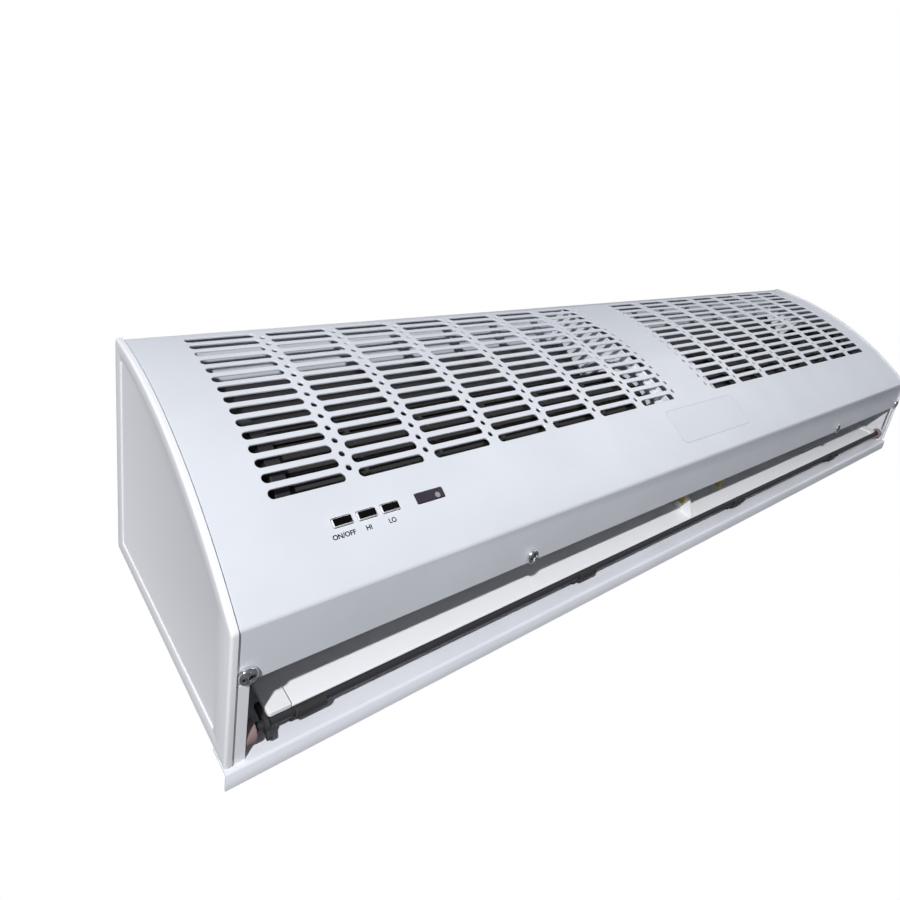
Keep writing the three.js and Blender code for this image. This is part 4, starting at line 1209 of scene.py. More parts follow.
@dataclass
class AirPath:
    """The sheets that lead the air round one wheel: scroll, tongue and end plates."""

    side: Side
    inner_face: float = 38.5
    outer_face: float = 403
    plate: float = 1.5
    plate_radius: float = 57
    web_half: float = 42.75
    rim: float = 9
    rim_angle: float = 50.8
    foot: float = 12
    bearing_radius: float = 15.3
    motor_boss: float = 14.3
    wall_room: float = 4
    scroll_start: float = 53
    scroll_angles: Span = (60, 180)
    scroll_entry: Point = (134, 180)
    scroll_foot: float = 52
    scroll_bend: float = 6
    tongue_angle: float = -60
    tongue_bends: tuple[Point, Point] = ((95, 44), (73, 25))
    tongue_radii: Span = (9, 1.2)
    tongue_step: float = 3.6
    tongue_flange: float = 13
    cutter_reach: float = 6
    bearing_half: float = 4.5
    edge_round: float = 0.3

    @property
    def sheet_span(self) -> Span:
        """The sheets' reach between the two end plates."""
        return self.side.span(self.inner_face + self.plate + CASE.gap, self.outer_face - CASE.gap)

    def scroll(self) -> None:
        """Make the rear guide, which opens from the top round the back and runs down to the vane."""
        back_radius = ROTOR.axis[0] - CASE.pan_standoff - self.wall_room
        spiral = arc_points(ROTOR.axis, (self.scroll_start, back_radius), self.scroll_angles, 40)
        line = [self.scroll_entry, *spiral, (ROTOR.axis[0] - back_radius, self.scroll_foot)]
        line = rounded(line, [0, self.scroll_bend, *[0] * (len(spiral) - 1), 0])
        piece = made(f"{self.side.word}_rear_guide", add_sheet, line, -CASE.sheet, self.sheet_span)
        softened(piece, self.edge_round)
        # The rear guide is black: partly its guessed paint, partly painted shade that keeps the wheel's
        # chamber dark behind the grille.
        dressed(piece, "housing", BLACK_PAINT_AND_SHADE, f"{self.side.word}_scroll")

    def tongue(self) -> None:
        """Make the tongue, from close to the wheel down to the outlet's front edge."""
        nose, angle = ROTOR.radius + self.wall_room, math.radians(self.tongue_angle)
        seat = CASE.sheet + CASE.gap
        edge = CASE.flange_edge + CASE.gap
        line = [
            (ROTOR.axis[0] + nose * math.cos(angle), ROTOR.axis[1] + nose * math.sin(angle)),
            *self.tongue_bends, (edge, seat + self.tongue_step), (edge, seat),
            (CASE.flange_edge + self.tongue_flange, seat),
        ]
        wide, tight = self.tongue_radii
        line = rounded(line, [0, wide, wide, tight, tight, 0])
        piece = made(f"{self.side.word}_front_guide", add_sheet, line, CASE.sheet, self.sheet_span)
        softened(piece, self.edge_round)
        hole = bmesh.new()
        SCREW.drill(hole, self.side.value * SCREW.inner_x)
        dressed(crisp(punched(piece, hole)), "housing", PAN_COAT, f"{self.side.word}_tongue")

    def end_plate(self, inner: bool) -> None:
        """Make one round end plate on its footed web.

        Args:
            inner: Whether it is the plate beside the motor.
        """
        face = self.inner_face if inner else self.outer_face
        low, high = face, face + self.plate
        turned = (face, face + self.rim) if inner else (high - self.rim, high)
        footed = (face, face + self.foot) if inner else (high - self.foot, high)
        back = CASE.pan_standoff + CASE.gap
        swing = 180 - math.degrees(math.asin(self.web_half / self.plate_radius))
        depth, height = ROTOR.axis
        outline = [*arc_points(ROTOR.axis, self.plate_radius, (-swing, swing), 72),
                   (back, height + self.web_half), (back, height - self.web_half)]
        web, hole, folds = bmesh.new(), bmesh.new(), bmesh.new()
        add_prism(web, outline, self.side.span(low, high))
        radius = self.motor_boss if inner else self.bearing_radius
        add_drill(hole, radius, self.cutter_reach, ROTOR.place(self.side.value * (low + high) / 2), "X", 48)
        name = f"{self.side.word}_{'inner' if inner else 'outer'}_end"
        piece = punched(new_piece(name, web), hole)
        rim = arc_points(ROTOR.axis, self.plate_radius, (-self.rim_angle, self.rim_angle), 40)
        add_sheet(folds, rim, self.plate, self.side.span(*turned))
        add_block(folds, self.side.span(*footed), (back, back + self.plate),
                  (height - self.web_half, height + self.web_half))
        node = f"{self.side.word}_{'inner' if inner else 'outer'}_plate"
        # The outer plates take the same black, partly guessed paint and partly painted shade for the dark
        # interior; the inner plates stay white.
        dressed(softened(extended(piece, folds), 0.4), "housing", PAN_COAT if inner else BLACK_PAINT_AND_SHADE, node)

    def baffle(self) -> None:
        """Make the sheet over the inner plate, which closes the duct up to the cover."""
        under = CASE.sheet + 2 * CASE.gap
        back, top = CASE.pan_standoff + CASE.gap, CASE.height - under
        steps, first, last = 24, 0.03, 0.8
        edge = [CASE.arch_point(CASE.arc_length * (first + (last - first) * i / steps), -under)
                for i in range(steps + 1)]
        outline = [(back, top), (edge[0][0] - CASE.gap, top), *edge, ROTOR.axis,
                   (back, ROTOR.axis[1] + self.web_half + 2)]
        span = self.side.span(self.inner_face, self.inner_face + self.plate)
        piece = made(f"{self.side.word}_baffle", add_prism, outline, span)
        hole = bmesh.new()
        place = ROTOR.place(self.side.value * self.inner_face)
        add_drill(hole, self.plate_radius + CASE.gap, self.cutter_reach, place, "X", 96)
        dressed(crisp(punched(piece, hole)), "housing", PAN_COAT)

    def bearing(self) -> None:
        """Make the shaft bearing: a bronze bush in a rubber."""
        middle = self.side.value * (self.outer_face + self.plate / 2)
        half = self.bearing_half
        for name, node, outer, bore, finish in (
            ("bearing_ring", "bearing_rubber", 15, 8.3, RUBBER),
            ("bearing_sleeve", "bearing_bush", 8, ROTOR.shaft + ROTOR.clearance, BRONZE),
        ):
            name = f"{self.side.word}_{name}"
            ring = made(name, add_turned, tube(bore, outer, (-half, half), 0.8), ROTOR.place(middle), "X", 48)
            dressed(crisp(ring), "housing", finish, f"{self.side.word}_{node}")

    def build(self) -> None:
        """Make all of this side's air path."""
        self.scroll()
        self.tongue()
        self.end_plate(inner=True)
        self.end_plate(inner=False)
        self.baffle()
        self.bearing()


# ---- rotor


@dataclass
class Wheel:
    """One cross-flow wheel with its hub and stub shaft."""

    side: Side
    blades: int = 36
    blade_thickness: float = 0.9
    blade_sweep: float = 24
    blade_margin: float = 0.6
    disc: float = 2.5
    rings: int = 5
    boss_radius: float = 9
    boss_length: float = 8
    hub_length: float = 12
    hub_proud: float = 2
    stub_span: Span = (390.25, 410.25)
    edge_round: float = 0.4

    def blade(self) -> Piece:
        """One blade about the X axis, from which the wheel is grown.

        Returns:
            The blade.
        """
        steps = 8
        inner, outer = ROTOR.bore + self.blade_margin, ROTOR.radius - self.blade_margin
        line = []
        for i in range(steps + 1):
            share = i / steps
            radius, angle = inner + (outer - inner) * share, math.radians(self.blade_sweep * share**2)
            line.append((radius * math.cos(angle), radius * math.sin(angle)))
        half = self.blade_thickness / 2
        outline = offset_line(line, half) + offset_line(line, -half)[::-1]
        span = self.side.span(ROTOR.inner_x + self.disc / 2, ROTOR.outer_x - self.disc / 2)
        loops = [[Vector((x, u, v)) * MM for u, v in outline] for x in span]
        return made(f"{self.side.word}_wheel", add_loft, loops)

    def build(self) -> None:
        """Grow the wheel with Geometry Nodes, then make its hub and stub shaft."""
        tree = Growth(f"{self.side.word}_cross_flow_wheel")
        count = tree.size("Blades", self.blades)
        rings = tree.size("Rings between the ends", self.rings)
        radius = tree.size("Wheel radius", ROTOR.radius * MM)
        bore = tree.size("Wheel bore", ROTOR.bore * MM)
        hub_bore = tree.size("Hub bore", (ROTOR.hub + CASE.gap) * MM)
        shaft_bore = tree.size("Shaft bore", (ROTOR.shaft + ROTOR.clearance) * MM)
        disc = tree.size("Disc thickness", self.disc * MM)
        boss_radius = tree.size("Boss radius", self.boss_radius * MM)
        boss_length = tree.size("Boss length", self.boss_length * MM)
        low = tree.size("Inner end", self.side.value * (ROTOR.inner_x + self.disc / 2) * MM)
        high = tree.size("Outer end", self.side.value * (ROTOR.outer_x - self.disc / 2) * MM)
        inward = tree.size("Inward direction", float(-self.side.value))

        def annulus(outer: Socket, inner: Socket, length: Socket, x: object) -> Socket:
            """A ring about the X axis with softened edges.

            Args:
                outer: The outer radius.
                inner: The inner radius.
                length: The length along X.
                x: The station along X.

            Returns:
                The ring.
            """
            middle = tree.times(tree.plus(outer, inner), 0.5)
            circle = tree.out("GeometryNodeCurvePrimitiveCircle", 72, middle)
            wall = tree.minus(outer, inner)
            section = tree.out("GeometryNodeCurvePrimitiveQuadrilateral", wall, length)
            section = tree.out("GeometryNodeFilletCurve", section, 2, self.edge_round * MM, True, mode="POLY")
            swept = tree.out("GeometryNodeCurveToMesh", circle, section)
            return tree.moved(swept, tree.vector(x), (0, math.pi / 2, 0))

        step = tree.over(count, math.tau)
        index = tree.out("GeometryNodeInputIndex")
        points = tree.out("GeometryNodePoints", count)
        blades = tree.instanced(points, tree.base, tree.vector(tree.over(index, step)))
        spacing = tree.over(tree.minus(high, low), tree.plus(rings, 1.0))
        stations = tree.out("GeometryNodeMeshLine", rings, tree.vector(tree.plus(low, spacing)),
                            tree.vector(spacing))
        steadied = tree.instanced(stations, annulus(radius, bore, disc, 0.0))
        boss_x = tree.sum("MULTIPLY_ADD", tree.times(boss_length, 0.5), inward, high)
        whole = tree.joined(blades, steadied, annulus(radius, hub_bore, disc, low),
                            annulus(radius, shaft_bore, disc, high),
                            annulus(boss_radius, shaft_bore, boss_length, boss_x))
        placed = tree.moved(whole, tuple(ROTOR.place(0)))
        # The wheel is black plastic: partly its guessed colour, partly painted shade, so the chamber behind
        # the grille reads dark.
        wheel = tree.grown(f"{self.side.word}_wheel", placed, BLACK_PLASTIC, self.blade())
        dressed(crisp(wheel), "rotor", BLACK_PLASTIC, f"{self.side.word}_impeller")
        self.hub()
        self.stub()

    def hub(self) -> None:
        """Make the rubber hub that couples the wheel to the motor's shaft."""
        low = ROTOR.inner_x - self.hub_proud
        first, last = self.side.span(low, low + self.hub_length)
        profile = tube(ROTOR.shaft + ROTOR.clearance, ROTOR.hub, (0, last - first), 0.9)
        ring = made(f"{self.side.word}_coupling", add_turned, profile, ROTOR.place(first), "X", 48)
        dressed(crisp(ring), "rotor", RUBBER, f"{self.side.word}_drive_hub")

    def stub(self) -> None:
        """Make the short shaft in the outer bearing."""
        add_shaft(f"{self.side.word}_stub", self.side.span(*self.stub_span), f"{self.side.word}_stub_shaft")


def add_shaft(name: str, span: Span, node: str) -> None:
    """Make a steel shaft on the rotor's axis with chamfered ends.

    Args:
        name: The piece's name.
        span: The reach along X.
        node: The CAD node that it replaces.
    """
    length = span[1] - span[0]
    radius, chamfer = ROTOR.shaft, 0.6
    profile = [(0, 0), (radius - chamfer, 0), (radius, chamfer), (radius, length - chamfer),
               (radius - chamfer, length), (0, length)]
    solid = made(name, add_turned, profile, ROTOR.place(span[0]), "X", 40)
    dressed(crisp(solid), "rotor", BRIGHT_STEEL, node)


# ---- motor


@dataclass
class MotorUnit:
    """The motor between the wheels, in its rubber rings and bracket."""

    radius: float = 42
    half_length: float = 27
    boss_radius: float = 14
    boss_length: float = 8
    shaft_half: float = 55
    shoulder: float = 33
    bell_drop: float = 0.8
    bell_edge: float = 19
    stack_half: float = 15
    lamination: float = 1
    groove: float = 0.5
    ring_wall: float = 4
    sheet: float = 2
    half_span: float = 33
    half_height: float = 34
    nose: float = 8
    leg_depth: float = 36
    leg_height: float = 13
    leg_width: float = 11
    leg_top: float = 15
    leg_lean: float = 16

    def body(self) -> None:
        """Make the motor: a stack of laminations between two end bells."""
        bore = ROTOR.shaft + ROTOR.clearance
        half, end = self.half_length, self.half_length + self.boss_length
        bell_radius = self.radius - self.bell_drop
        bell = rounded([(bore, -end), (self.boss_radius, -end), (self.boss_radius, -half),
                        (self.shoulder, -half), (bell_radius, -self.bell_edge),
                        (bell_radius, -self.stack_half)],
                       [0, 1, 1.5, 5, 5, 0], steps=5)
        stack = []
        count = round(2 * self.stack_half / self.lamination)
        for i in range(count):
            low = -self.stack_half + i * self.lamination
            stack += [(self.radius - self.groove, low), (self.radius, low + 0.3), (self.radius, low + 0.7)]
        profile = [*bell, *stack, *[(radius, -x) for radius, x in bell[::-1]]]
        motor = made("motor", add_turned, profile, ROTOR.place(0), "X", 72)
        dressed(crisp(motor, 40), "housing", MOTOR_STEEL, "motor_body")
        add_shaft("drive_shaft", (-self.shaft_half, self.shaft_half), "motor_shaft")

    def rings(self) -> None:
        """Make the rubber rings on the motor's bosses."""
        for side in Side:
            low, high = side.span(self.half_length + CASE.gap, self.half_length + self.boss_length)
            inner, outer = self.boss_radius + CASE.gap, self.boss_radius + self.ring_wall
            name = f"{side.word}_mount_ring"
            ring = made(name, add_turned, tube(inner, outer, (0, high - low), 1), ROTOR.place(low), "X", 48)
            dressed(crisp(ring), "housing", RUBBER, f"{side.word}_motor_ring")

    def bracket(self) -> None:
        """Make the yellow bracket, whose cheeks hold the rings and reach down to the outlet."""
        base = CASE.pan_standoff + CASE.gap
        height = ROTOR.axis[1]
        low, high = height - self.half_height, height + self.half_height
        hold = self.boss_radius + self.ring_wall
        nose = ROTOR.axis[0] + hold + self.nose
        outline = rounded([
            (base, low), (self.leg_depth + self.leg_lean, low), (self.leg_depth, self.leg_height),
            (self.leg_depth + self.leg_width, self.leg_height),
            (self.leg_depth + self.leg_lean + self.leg_top, low),
            (nose, height - self.half_height / 2), (nose, height + self.half_height / 2),
            (ROTOR.axis[0], high), (base, high),
        ], [0, 4, 2, 2, 6, 8, 8, 8, 0], closed=True)
        cheeks, holes, back = bmesh.new(), bmesh.new(), bmesh.new()
        for side in Side:
            add_prism(cheeks, outline, side.span(self.half_span - self.sheet, self.half_span))
            add_drill(holes, hold + CASE.gap, 5, ROTOR.place(side.value * self.half_span), "X", 64)
        bracket = punched(new_piece("motor_cradle", cheeks), holes)
        add_block(back, (-self.half_span, self.half_span), (base, base + self.sheet), (low, high))
        dressed(softened(extended(bracket, back), 0.4), "housing", YELLOW_ZINC, "motor_bracket")

    def build(self) -> None:
        """Make the motor with what holds it."""
        self.body()
        self.rings()
        self.bracket()


# ---- outlet vane


@dataclass
class OutletVane:
    """The vane on its rod, with end plugs, finger tab, lever, clips and bushes."""

    sheet: float = 1.4
    foot: float = -0.2
    plug_length: float = 13
    plug_thickness: float = 2.8
    plug_corner: float = 12
    tab_x: float = -23.5
    tab_thickness: float = 3
    tab_height: float = 20
    tab_tip: Span = (8, 11)
    tab_reach: float = 15
    lever_thickness: float = 2.4
    lever_hub: float = 4.4
    lever_width: float = 4
    lever_limbs: tuple[Span, Span] = ((12, 12), (8, 215))
    clips: int = 4
    first_clip: float = -402
    clip_pitch: float = 230
    clip_length: float = 18
    clip_wall: float = 1.8
    clip_mouth: Span = (100, 325)
    clip_foot: Span = (1.5, 9)
    clip_bite: float = 1.3
    bush_length: float = 6

    def build(self) -> None:
        """Make everything that turns with the vane, then what holds its rod."""
        self.blade()
        self.rod()
        self.finger_tab()
        self.lever()
        for side in Side:
            self.plug(side)
            self.bush(side)
        for i in range(self.clips):
            self.clip(i, self.first_clip + self.clip_pitch * i)

    def blade(self) -> None:
        """Make the vane's sheet with a rounded upper edge."""
        top, foot = VANE.reach, self.foot
        outline = tube(foot, top, (0, self.sheet), 0.55)
        loops = [[VANE.at(x, along, out) for along, out in outline] for x in (-VANE.end_x, VANE.end_x)]
        dressed(softened(made("vane_blade", add_loft, loops), 0.15), "vane", VANE_WHITE, "air_vane")

    def plug(self, side: Side) -> None:
        """Make an end plug with its rounded outer corner.

        Args:
            side: The end of the unit.
        """
        low, high = VANE.end_x + CASE.gap, VANE.end_x + self.plug_length
        outline = rounded([(low, self.foot), (high, self.foot), (high, VANE.reach), (low, VANE.reach)],
                          [0.4, 2, self.plug_corner, 0.4], closed=True, steps=12)
        loops = [[VANE.at(side.value * x, along, out) for x, along in outline]
                 for out in (0, self.plug_thickness)]
        piece = softened(made(f"{side.word}_plug", add_loft, loops), 0.6, 3)
        dressed(piece, "vane", WHITE_PLASTIC, f"{side.word}_vane_plug")

    def rod(self) -> None:
        """Make the rod along the vane's foot."""
        reach = CASE.skirt_x - self.bush_length / 2 - CASE.gap
        chamfer = 0.5
        profile = [(0, -reach), (VANE.rod - chamfer, -reach), (VANE.rod, chamfer - reach),
                   (VANE.rod, reach - chamfer), (VANE.rod - chamfer, reach), (0, reach)]
        rod = made("pivot_rod", add_turned, profile, CASE.row(0, *VANE.axis), "X", 32)
        dressed(crisp(rod), "vane", BLACK_ROD, "vane_rod")

    def finger_tab(self) -> None:
        """Make the tab by which the vane is tilted by hand."""
        root = self.sheet + CASE.gap
        (low, high), end = self.tab_tip, root + self.tab_reach
        outline = rounded([(0, root), (low, end), (high, end), (self.tab_height, root)], [0.4, 1.4, 1.4, 0.4],
                          closed=True)
        span = about(self.tab_x, self.tab_thickness)
        loops = [[VANE.at(x, along, out) for along, out in outline] for x in span]
        tab = softened(made("finger_tab", add_loft, loops), 0.6, 3)
        dressed(tab, "vane", WHITE_PLASTIC, "vane_finger_tab")

    def lever(self) -> None:
        """Make the forked lever on the rod's left end."""
        depth, height = VANE.axis
        x = -(VANE.end_x + self.plug_length + CASE.gap + self.lever_thickness)
        span = (x, x + self.lever_thickness)
        solid = bmesh.new()
        bore = VANE.rod + CASE.gap
        ring = tube(bore, self.lever_hub, (0, self.lever_thickness), 0)
        add_turned(solid, ring, CASE.row(x, *VANE.axis), "X", 32)
        start, half = bore + 0.4, self.lever_width / 2
        for length, turn in self.lever_limbs:
            angle = math.radians(turn)
            limb = rounded([(-half, start), (half, start), (half, length), (-half, length)],
                           [0, 0, 1.6, 1.6], closed=True)
            add_prism(solid, [(depth + across * math.cos(angle) + along * math.sin(angle),
                               height - across * math.sin(angle) + along * math.cos(angle))
                              for across, along in limb], span)
        dressed(softened(new_piece("lever", solid), 0.25), "vane", BLACK_PLASTIC, "vane_lever")

    def clip(self, index: int, x: float) -> None:
        """Make a saddle on the pan that holds the rod, open towards the vane.

        Args:
            index: The clip's number, from 0.
            x: The station along X.
        """
        depth, height = VANE.axis
        inner = VANE.rod + CASE.gap
        outer = inner + self.clip_wall
        saddle = arc_points(VANE.axis, outer, self.clip_mouth, 24)
        saddle += arc_points(VANE.axis, inner, self.clip_mouth[::-1], 24)
        solid = bmesh.new()
        span = about(x, self.clip_length)
        add_prism(solid, saddle, span)
        add_block(solid, span, (CASE.pan_standoff + CASE.gap, depth - outer + self.clip_bite),
                  (height + self.clip_foot[0], height + self.clip_foot[1]))
        piece = softened(new_piece(f"rod_clip_{index + 1}", solid), 0.3)
        dressed(piece, "housing", BLACK_PLASTIC, f"vane_clip_{index + 1}")

    def bush(self, side: Side) -> None:
        """Make the bush that carries the rod's end in the cap's boss.

        Args:
            side: The end of the unit.
        """
        low, high = side.span(CASE.skirt_x - CASE.gap - self.bush_length, CASE.skirt_x - CASE.gap)
        profile = tube(VANE.rod + CASE.gap, VANE.bush_radius, (0, high - low), 0.8)
        bush = made(f"{side.word}_rod_bush", add_turned, profile, CASE.row(low, *VANE.axis), "X", 40)
        dressed(crisp(bush), "housing", BROWN_RUBBER, f"{side.word}_vane_bush")


# ---- controls


@dataclass(frozen=True)
class Key:
    """A push button: its name, its body, its node and its label."""

    name: str
    body: str
    node: str
    label: str
    x: float


KEYS = (
    Key("power", "power_key", "power_button", "ON/OFF", -378.5),
    Key("high_speed", "high_speed_key", "high_speed_button", "HI", -363.05),
    Key("low_speed", "low_speed_key", "low_speed_button", "LO", -347.6),
)


@dataclass
class ControlPanel:
    """The buttons, their labels, the remote receiver and the blank plate on the cover."""

    length: float = 12.2
    width: float = 5.2
    proud: float = 1
    depth: float = 7
    ledge: float = 1.1
    flange: float = 1.2
    clearance: float = 0.4
    corner: float = 0.9
    rim_width: float = 0.5
    rim_foot: float = -0.6
    receiver_x: float = -319
    receiver: Span = (20.5, 6.5)
    window_ledge: float = 1.2
    label_from_foot: float = 27.8
    label_height: float = 3.1
    label_shift: float = -1.8
    label_scale: float = 1.25
    label_lift: float = 0.02
    label_bold: float = 0.1
    plate_x: float = -5
    plate: Span = (109, 31)
    plate_from_foot: float = 32
    plate_corner: float = 4
    plate_base: float = 0.01
    lens: Point = (5.2, -0.9)
    lens_radius: float = 1.8

    @property
    def arc(self) -> float:
        """The controls' arc length from the arch's top edge."""
        return CASE.arc_length - CASE.control_from_foot

    def windows(self) -> list[tuple[float, float, float, float]]:
        """The windows that the cover needs: x, length, width and corner radius.

        Returns:
            The windows.
        """
        room = 2 * self.clearance
        found = [(key.x, self.length + room, self.width + room, self.corner + self.clearance) for key in KEYS]
        length, width = (size + 2 * CASE.gap for size in self.receiver)
        return [*found, (self.receiver_x, length, width, self.corner)]

    def keys(self) -> None:
        """Make the three buttons, each on its own body."""
        top, foot, width = self.proud, self.rim_foot, self.rim_width
        steps = ((0, top - self.depth), (0, foot), (width, foot + 0.1), (width, top - 0.1),
                 (width + 0.15, top))
        rims = ((0, foot + 0.15), (0, foot + 0.5), (width - 0.15, top), (width - 0.02, top - 0.05),
                (width - 0.02, foot + 0.15))
        for key in KEYS:
            solid = bmesh.new()
            arch_loft(solid, key.x, self.arc, [(self.key_outline(inset), lift) for inset, lift in steps])
            self.ledge_under(solid, key.x, self.length + 2 * self.ledge, self.width + 2 * self.ledge)
            dressed(crisp(new_piece(f"{key.name}_cap", solid)), key.body, KEY_BLACK, key.node)
            loops = [[on_arch(key.x, self.arc, u, v, lift) for u, v in self.key_outline(inset)]
                     for inset, lift in rims]
            dressed(crisp(made(f"{key.name}_rim", add_loft, loops, True), 25), key.body, WHITE_PLASTIC)

    def ledge_under(self, solid: MeshData, x: float, length: float, width: float) -> None:
        """Add the ledge that keeps a button or the window behind the cover."""
        under = -(CASE.sheet + CASE.gap)
        ledge = rounded_box(length, width, self.corner)
        arch_loft(solid, x, self.arc, [(ledge, under - self.flange), (ledge, under)])

    def key_outline(self, inset: float) -> list[Point]:
        """A button's outline at some distance inside its edge."""
        return rounded_box(self.length - 2 * inset, self.width - 2 * inset, max(0.25, self.corner - inset))

    def labels(self) -> None:
        """Print a generic word under each button."""
        for key in KEYS:
            curve = bpy.data.curves.new(f"{key.name}_word", "FONT")
            curve.body = key.label
            curve.align_x, curve.align_y = "CENTER", "CENTER"
            curve.size = self.label_height * MM * self.label_scale
            curve.extrude = self.label_lift * MM
            curve.offset = self.label_bold * MM
            written = linked(f"{key.name}_word", curve)
            mesh = bpy.data.meshes.new_from_object(written)
            bpy.data.objects.remove(written)
            arc = CASE.arc_length - self.label_from_foot
            for vertex in mesh.vertices:
                u, v, w = vertex.co / MM
                vertex.co = on_arch(key.x + self.label_shift, arc - v, u, 0, self.label_lift + w)
            dressed(linked(f"{key.name}_label", mesh), "housing", PRINT)

    def window(self) -> None:
        """Make the receiver's dark window and the lens behind it."""
        length, width = self.receiver
        solid, lens = bmesh.new(), bmesh.new()
        layers = [(rounded_box(length - 2 * inset, width - 2 * inset, self.corner - inset), lift)
                  for inset, lift in ((0, -4.7), (0, 0.05), (0.25, 0.3))]
        arch_loft(solid, self.receiver_x, self.arc, layers)
        self.ledge_under(solid, self.receiver_x, length + 2 * self.window_ledge,
                         width + 2 * self.window_ledge)
        dressed(crisp(new_piece("receiver_cover", solid)), "housing", DARK_WINDOW, "receiver_window")
        outline = arc_points(self.lens, self.lens_radius, (0, 360), 24)[:-1]
        arch_loft(lens, self.receiver_x, self.arc, [(outline, 0.2), (outline, 0.32)])
        dressed(crisp(new_piece("receiver_lens", lens)), "housing", LENS)

    def blank_plate(self) -> None:
        """Make the blank plate in the middle of the cover, with its thin printed edge."""
        for name, grow, lift, finish in (("plate_edge", 0.35, 0.08, PRINT_GREY),
                                         ("plate_face", 0, 0.14, PLATE_WHITE)):
            length, width = (size / 2 + grow for size in self.plate)
            corner, steps = self.plate_corner + grow, 8
            turns = [math.pi / 2 * k / steps for k in range(steps + 1)]
            lower = [(-width + corner * (1 - math.cos(t)),
                      length - corner * (1 - math.sin(t))) for t in turns]
            rows = [*lower, (0, length), *[(-v, u) for v, u in lower[::-1]]]
            arc = CASE.arc_length - self.plate_from_foot
            base = self.plate_base
            loops = [[on_arch(self.plate_x, arc - v, across, 0, rise)
                      for across, rise in ((-u, base), (u, base), (u, lift), (-u, lift))] for v, u in rows]
            dressed(crisp(made(name, add_loft, loops)), "housing", finish)

    def build(self) -> None:
        """Make all that shows of the controls."""
        self.keys()
        self.labels()
        self.window()
        self.blank_plate()


# ---- screws


@dataclass
class CoverScrews:
    """The pan-head screws under the outlet's front edge."""

    radius: float = 4.9
    height: float = 2.6
    shank: float = 2
    length: float = 9
    recess: float = 3.7
    recess_width: float = 2
    recess_depth: float = 2.3

    def build(self) -> None:
        """Make one screw, then place its copies with Geometry Nodes."""
        low = -self.height - CASE.gap
        crown = rounded([(0, low), (self.radius, low), (self.radius, -CASE.gap), (self.shank, -CASE.gap),
                         (self.shank, self.length - 2 - CASE.gap), (0, self.length - CASE.gap)],
                        [0, 1.9, 0.3, 0.2, 0, 0], steps=8)
        screw = made("screw", add_turned, crown, Vector(), "Z", 40)
        reach, half = self.recess, self.recess_width / 2
        arm = [(half, -reach), (half, -half), (reach, -half)]
        cross = [*arm, *[(-v, u) for u, v in arm], *[(-u, -v) for u, v in arm], *[(v, -u) for u, v in arm]]
        cutter = bmesh.new()
        add_loft(cutter, [[Vector((u * grow, v * grow, z)) * MM for u, v in cross]
                          for z, grow in ((low - 1, 1), (low + self.recess_depth, 0.7))])
        punched(screw, cutter)
        tree = Growth("cover_screw_places")
        outer, inner = (tree.size(name, x * MM) for name, x in
                        (("Outer screw x", SCREW.outer_x), ("Inner screw x", SCREW.inner_x)))
        depth = tree.size("Screw depth", SCREW.depth * MM)
        level = tree.size("Outlet height", -CASE.height / 2 * MM)
        y = tree.times(depth, -1.0)
        lines = []
        for x in (outer, inner):
            start = tree.vector(tree.times(x, -1.0), y, level)
            between = tree.vector(tree.times(x, 2.0))
            lines.append(tree.out("GeometryNodeMeshLine", 2, start, between))
        placed = tree.instanced(tree.joined(*lines), tree.base)
        screws = tree.grown("cover_screws", placed, BRIGHT_STEEL, screw)
        dressed(crisp(screws), "housing", BRIGHT_STEEL, *[f"cover_screw_{i}" for i in range(1, 5)])


# ---- studio


@dataclass(frozen=True)
class Lamp:
    """A square lamp: where it hangs, what it is turned to, its size and its power."""

    name: str
    place: Triple
    aim: Triple
    size: float
    power: float

    def hang(self) -> None:
        """Add the lamp to the scene, unseen by the camera."""
        data = bpy.data.lights.new(self.name, "AREA")
        data.size, data.energy = self.size, self.power
        lamp = linked(self.name, data)
        lamp.location = self.place
        lamp.rotation_euler = (Vector(self.place) - Vector(self.aim)).to_track_quat("Z", "Y").to_euler()
        lamp.visible_camera = False


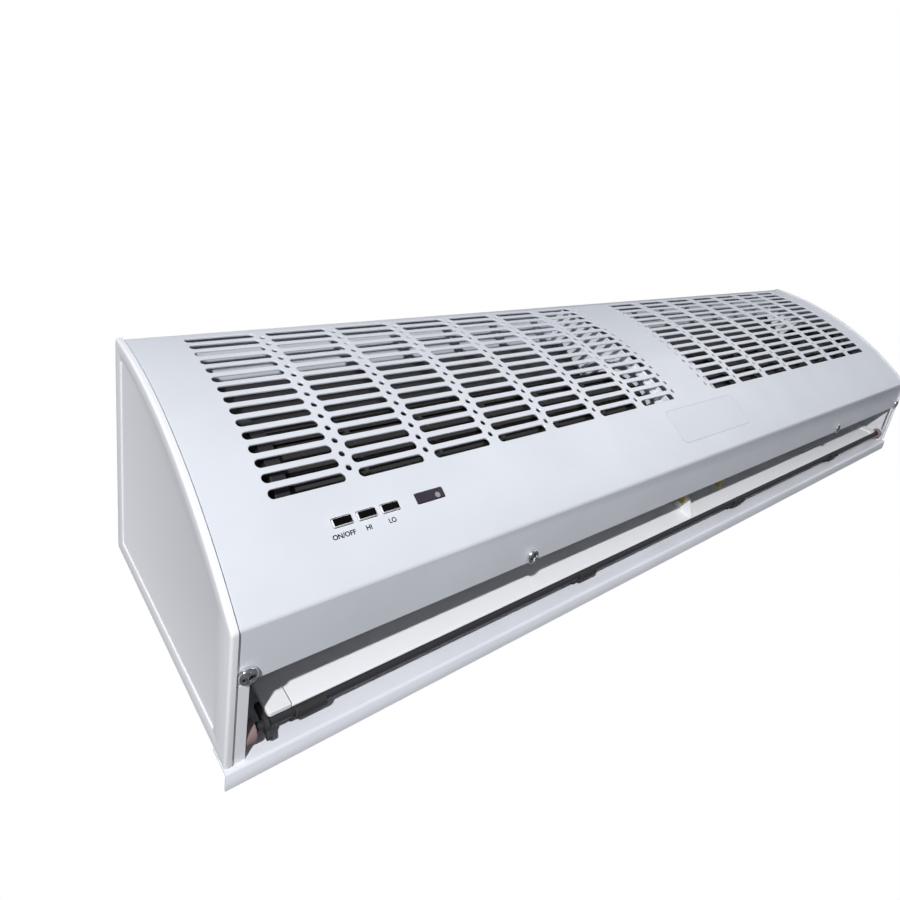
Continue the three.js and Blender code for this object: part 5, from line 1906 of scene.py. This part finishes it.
@dataclass
class Studio:
    """The camera of the picture and the light around the unit."""

    place: Triple = (-0.54685, -0.32091, -0.32293)
    right: Triple = (0.771457, -0.148411, -0.618731)
    down: Triple = (-0.092557, 0.935899, -0.339892)
    forward: Triple = (0.629513, 0.319480, 0.708270)
    lens: float = 26.2268
    shift_y: float = -0.1111
    lamps: tuple[Lamp, ...] = (
        Lamp("key", (-1.902, -1.998, -1.19), (-0.3, -0.08, -0.05), 0.07, 75),
        Lamp("fill", (0.9, -1.0, -0.15), (-0.05, -0.1, 0), 0.8, 2.5),
        Lamp("back_light", (1.0, 1.3, 1.1), (0, 0, 0), 1.4, 40),
    )
    ambient: float = 0.06
    mirrored: float = 0.45
    floor_level: float = -1.6
    floor_glow: float = 0.8

    def camera(self) -> None:
        """Set up the camera, which looks up from below the unit's left front."""
        data = bpy.data.cameras.new("camera")
        data.lens, data.sensor_width = self.lens, 36
        data.shift_y = self.shift_y
        data.clip_start = 0.02
        camera = linked("camera", data)
        columns = (Vector(self.right), -Vector(self.down), -Vector(self.forward))
        camera.matrix_world = Matrix.Translation(self.place) @ Matrix(columns).transposed().to_4x4()
        bpy.context.scene.camera = camera

    def world(self) -> None:
        """White to the camera, grey in what metal mirrors, and dim in the light that it sheds."""
        world = bpy.data.worlds.new("studio")
        world.use_nodes = True
        graph, tint = Shading(world.node_tree), linear(236, 241, 255)
        graph.tree.nodes.clear()
        path = graph.node("ShaderNodeLightPath")
        result, mirrored, seen = (
            graph.out("ShaderNodeBackground", {"Color": colour, "Strength": strength})
            for colour, strength in ((tint, self.ambient), (tint, self.mirrored), ((1, 1, 1, 1), 1)))
        for ray, shader in (("Is Glossy Ray", mirrored), ("Is Camera Ray", seen)):
            result = graph.out("ShaderNodeMixShader",
                                {0: path.outputs[ray], 1: result, 2: shader})
        graph.node("ShaderNodeOutputWorld", {0: result})
        bpy.context.scene.world = world

    def floor(self) -> None:
        """Lay a pale floor well below the unit, which glows to the camera and keeps the unit's shadow."""
        ground = bmesh.new()
        bmesh.ops.create_grid(ground, x_segments=1, y_segments=1, size=6)
        floor = new_piece("floor", ground)
        floor.location.z = self.floor_level
        material = FLOOR.material()
        graph = Shading(material.node_tree)
        seen = graph.node("ShaderNodeLightPath").outputs["Is Camera Ray"]
        strength = graph.out("ShaderNodeMath", {0: seen, 1: self.floor_glow}, operation="MULTIPLY")
        glow = graph.out("ShaderNodeEmission", {"Strength": strength})
        lit = graph.tree.nodes["Principled BSDF"].outputs[0]
        total = graph.out("ShaderNodeAddShader", {0: lit, 1: glow})
        graph.feed(graph.tree.nodes["Material Output"].inputs["Surface"], total)
        floor.data.materials.append(material)

    def build(self) -> None:
        """Set up the view, the light and the floor."""
        self.camera()
        self.world()
        self.floor()
        for lamp in self.lamps:
            lamp.hang()
        bpy.context.scene.view_settings.view_transform = "Standard"


# ---- whole object


KEPT = {
    "control_holder": WHITE_PLASTIC,
    "control_board": CIRCUIT_BOARD,
    "run_capacitor": BLACK_PLASTIC,
    "terminal_block": WHITE_PLASTIC,
}


def dress_kept(nodes: dict[str, Piece]) -> None:
    """Give the CAD nodes that stay their materials."""
    for name, finish in KEPT.items():
        for slot in nodes[name].material_slots:
            slot.material = finish.material()


def main() -> None:
    """Build the studio and the unit, piece by piece."""
    logging.basicConfig(level=logging.INFO, format="%(message)s")
    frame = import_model()
    Studio().build()
    casing, controls = Casing(), ControlPanel()
    casing.front_cover(controls.windows())
    casing.back_pan()
    casing.wall_plate()
    casing.cable_grommet()
    for side in Side:
        EndCap(side).build()
        AirPath(side).build()
        Wheel(side).build()
    MotorUnit().build()
    OutletVane().build()
    controls.build()
    CoverScrews().build()
    dress_kept(frame["nodes"])


if __name__ == "__main__":
    main()
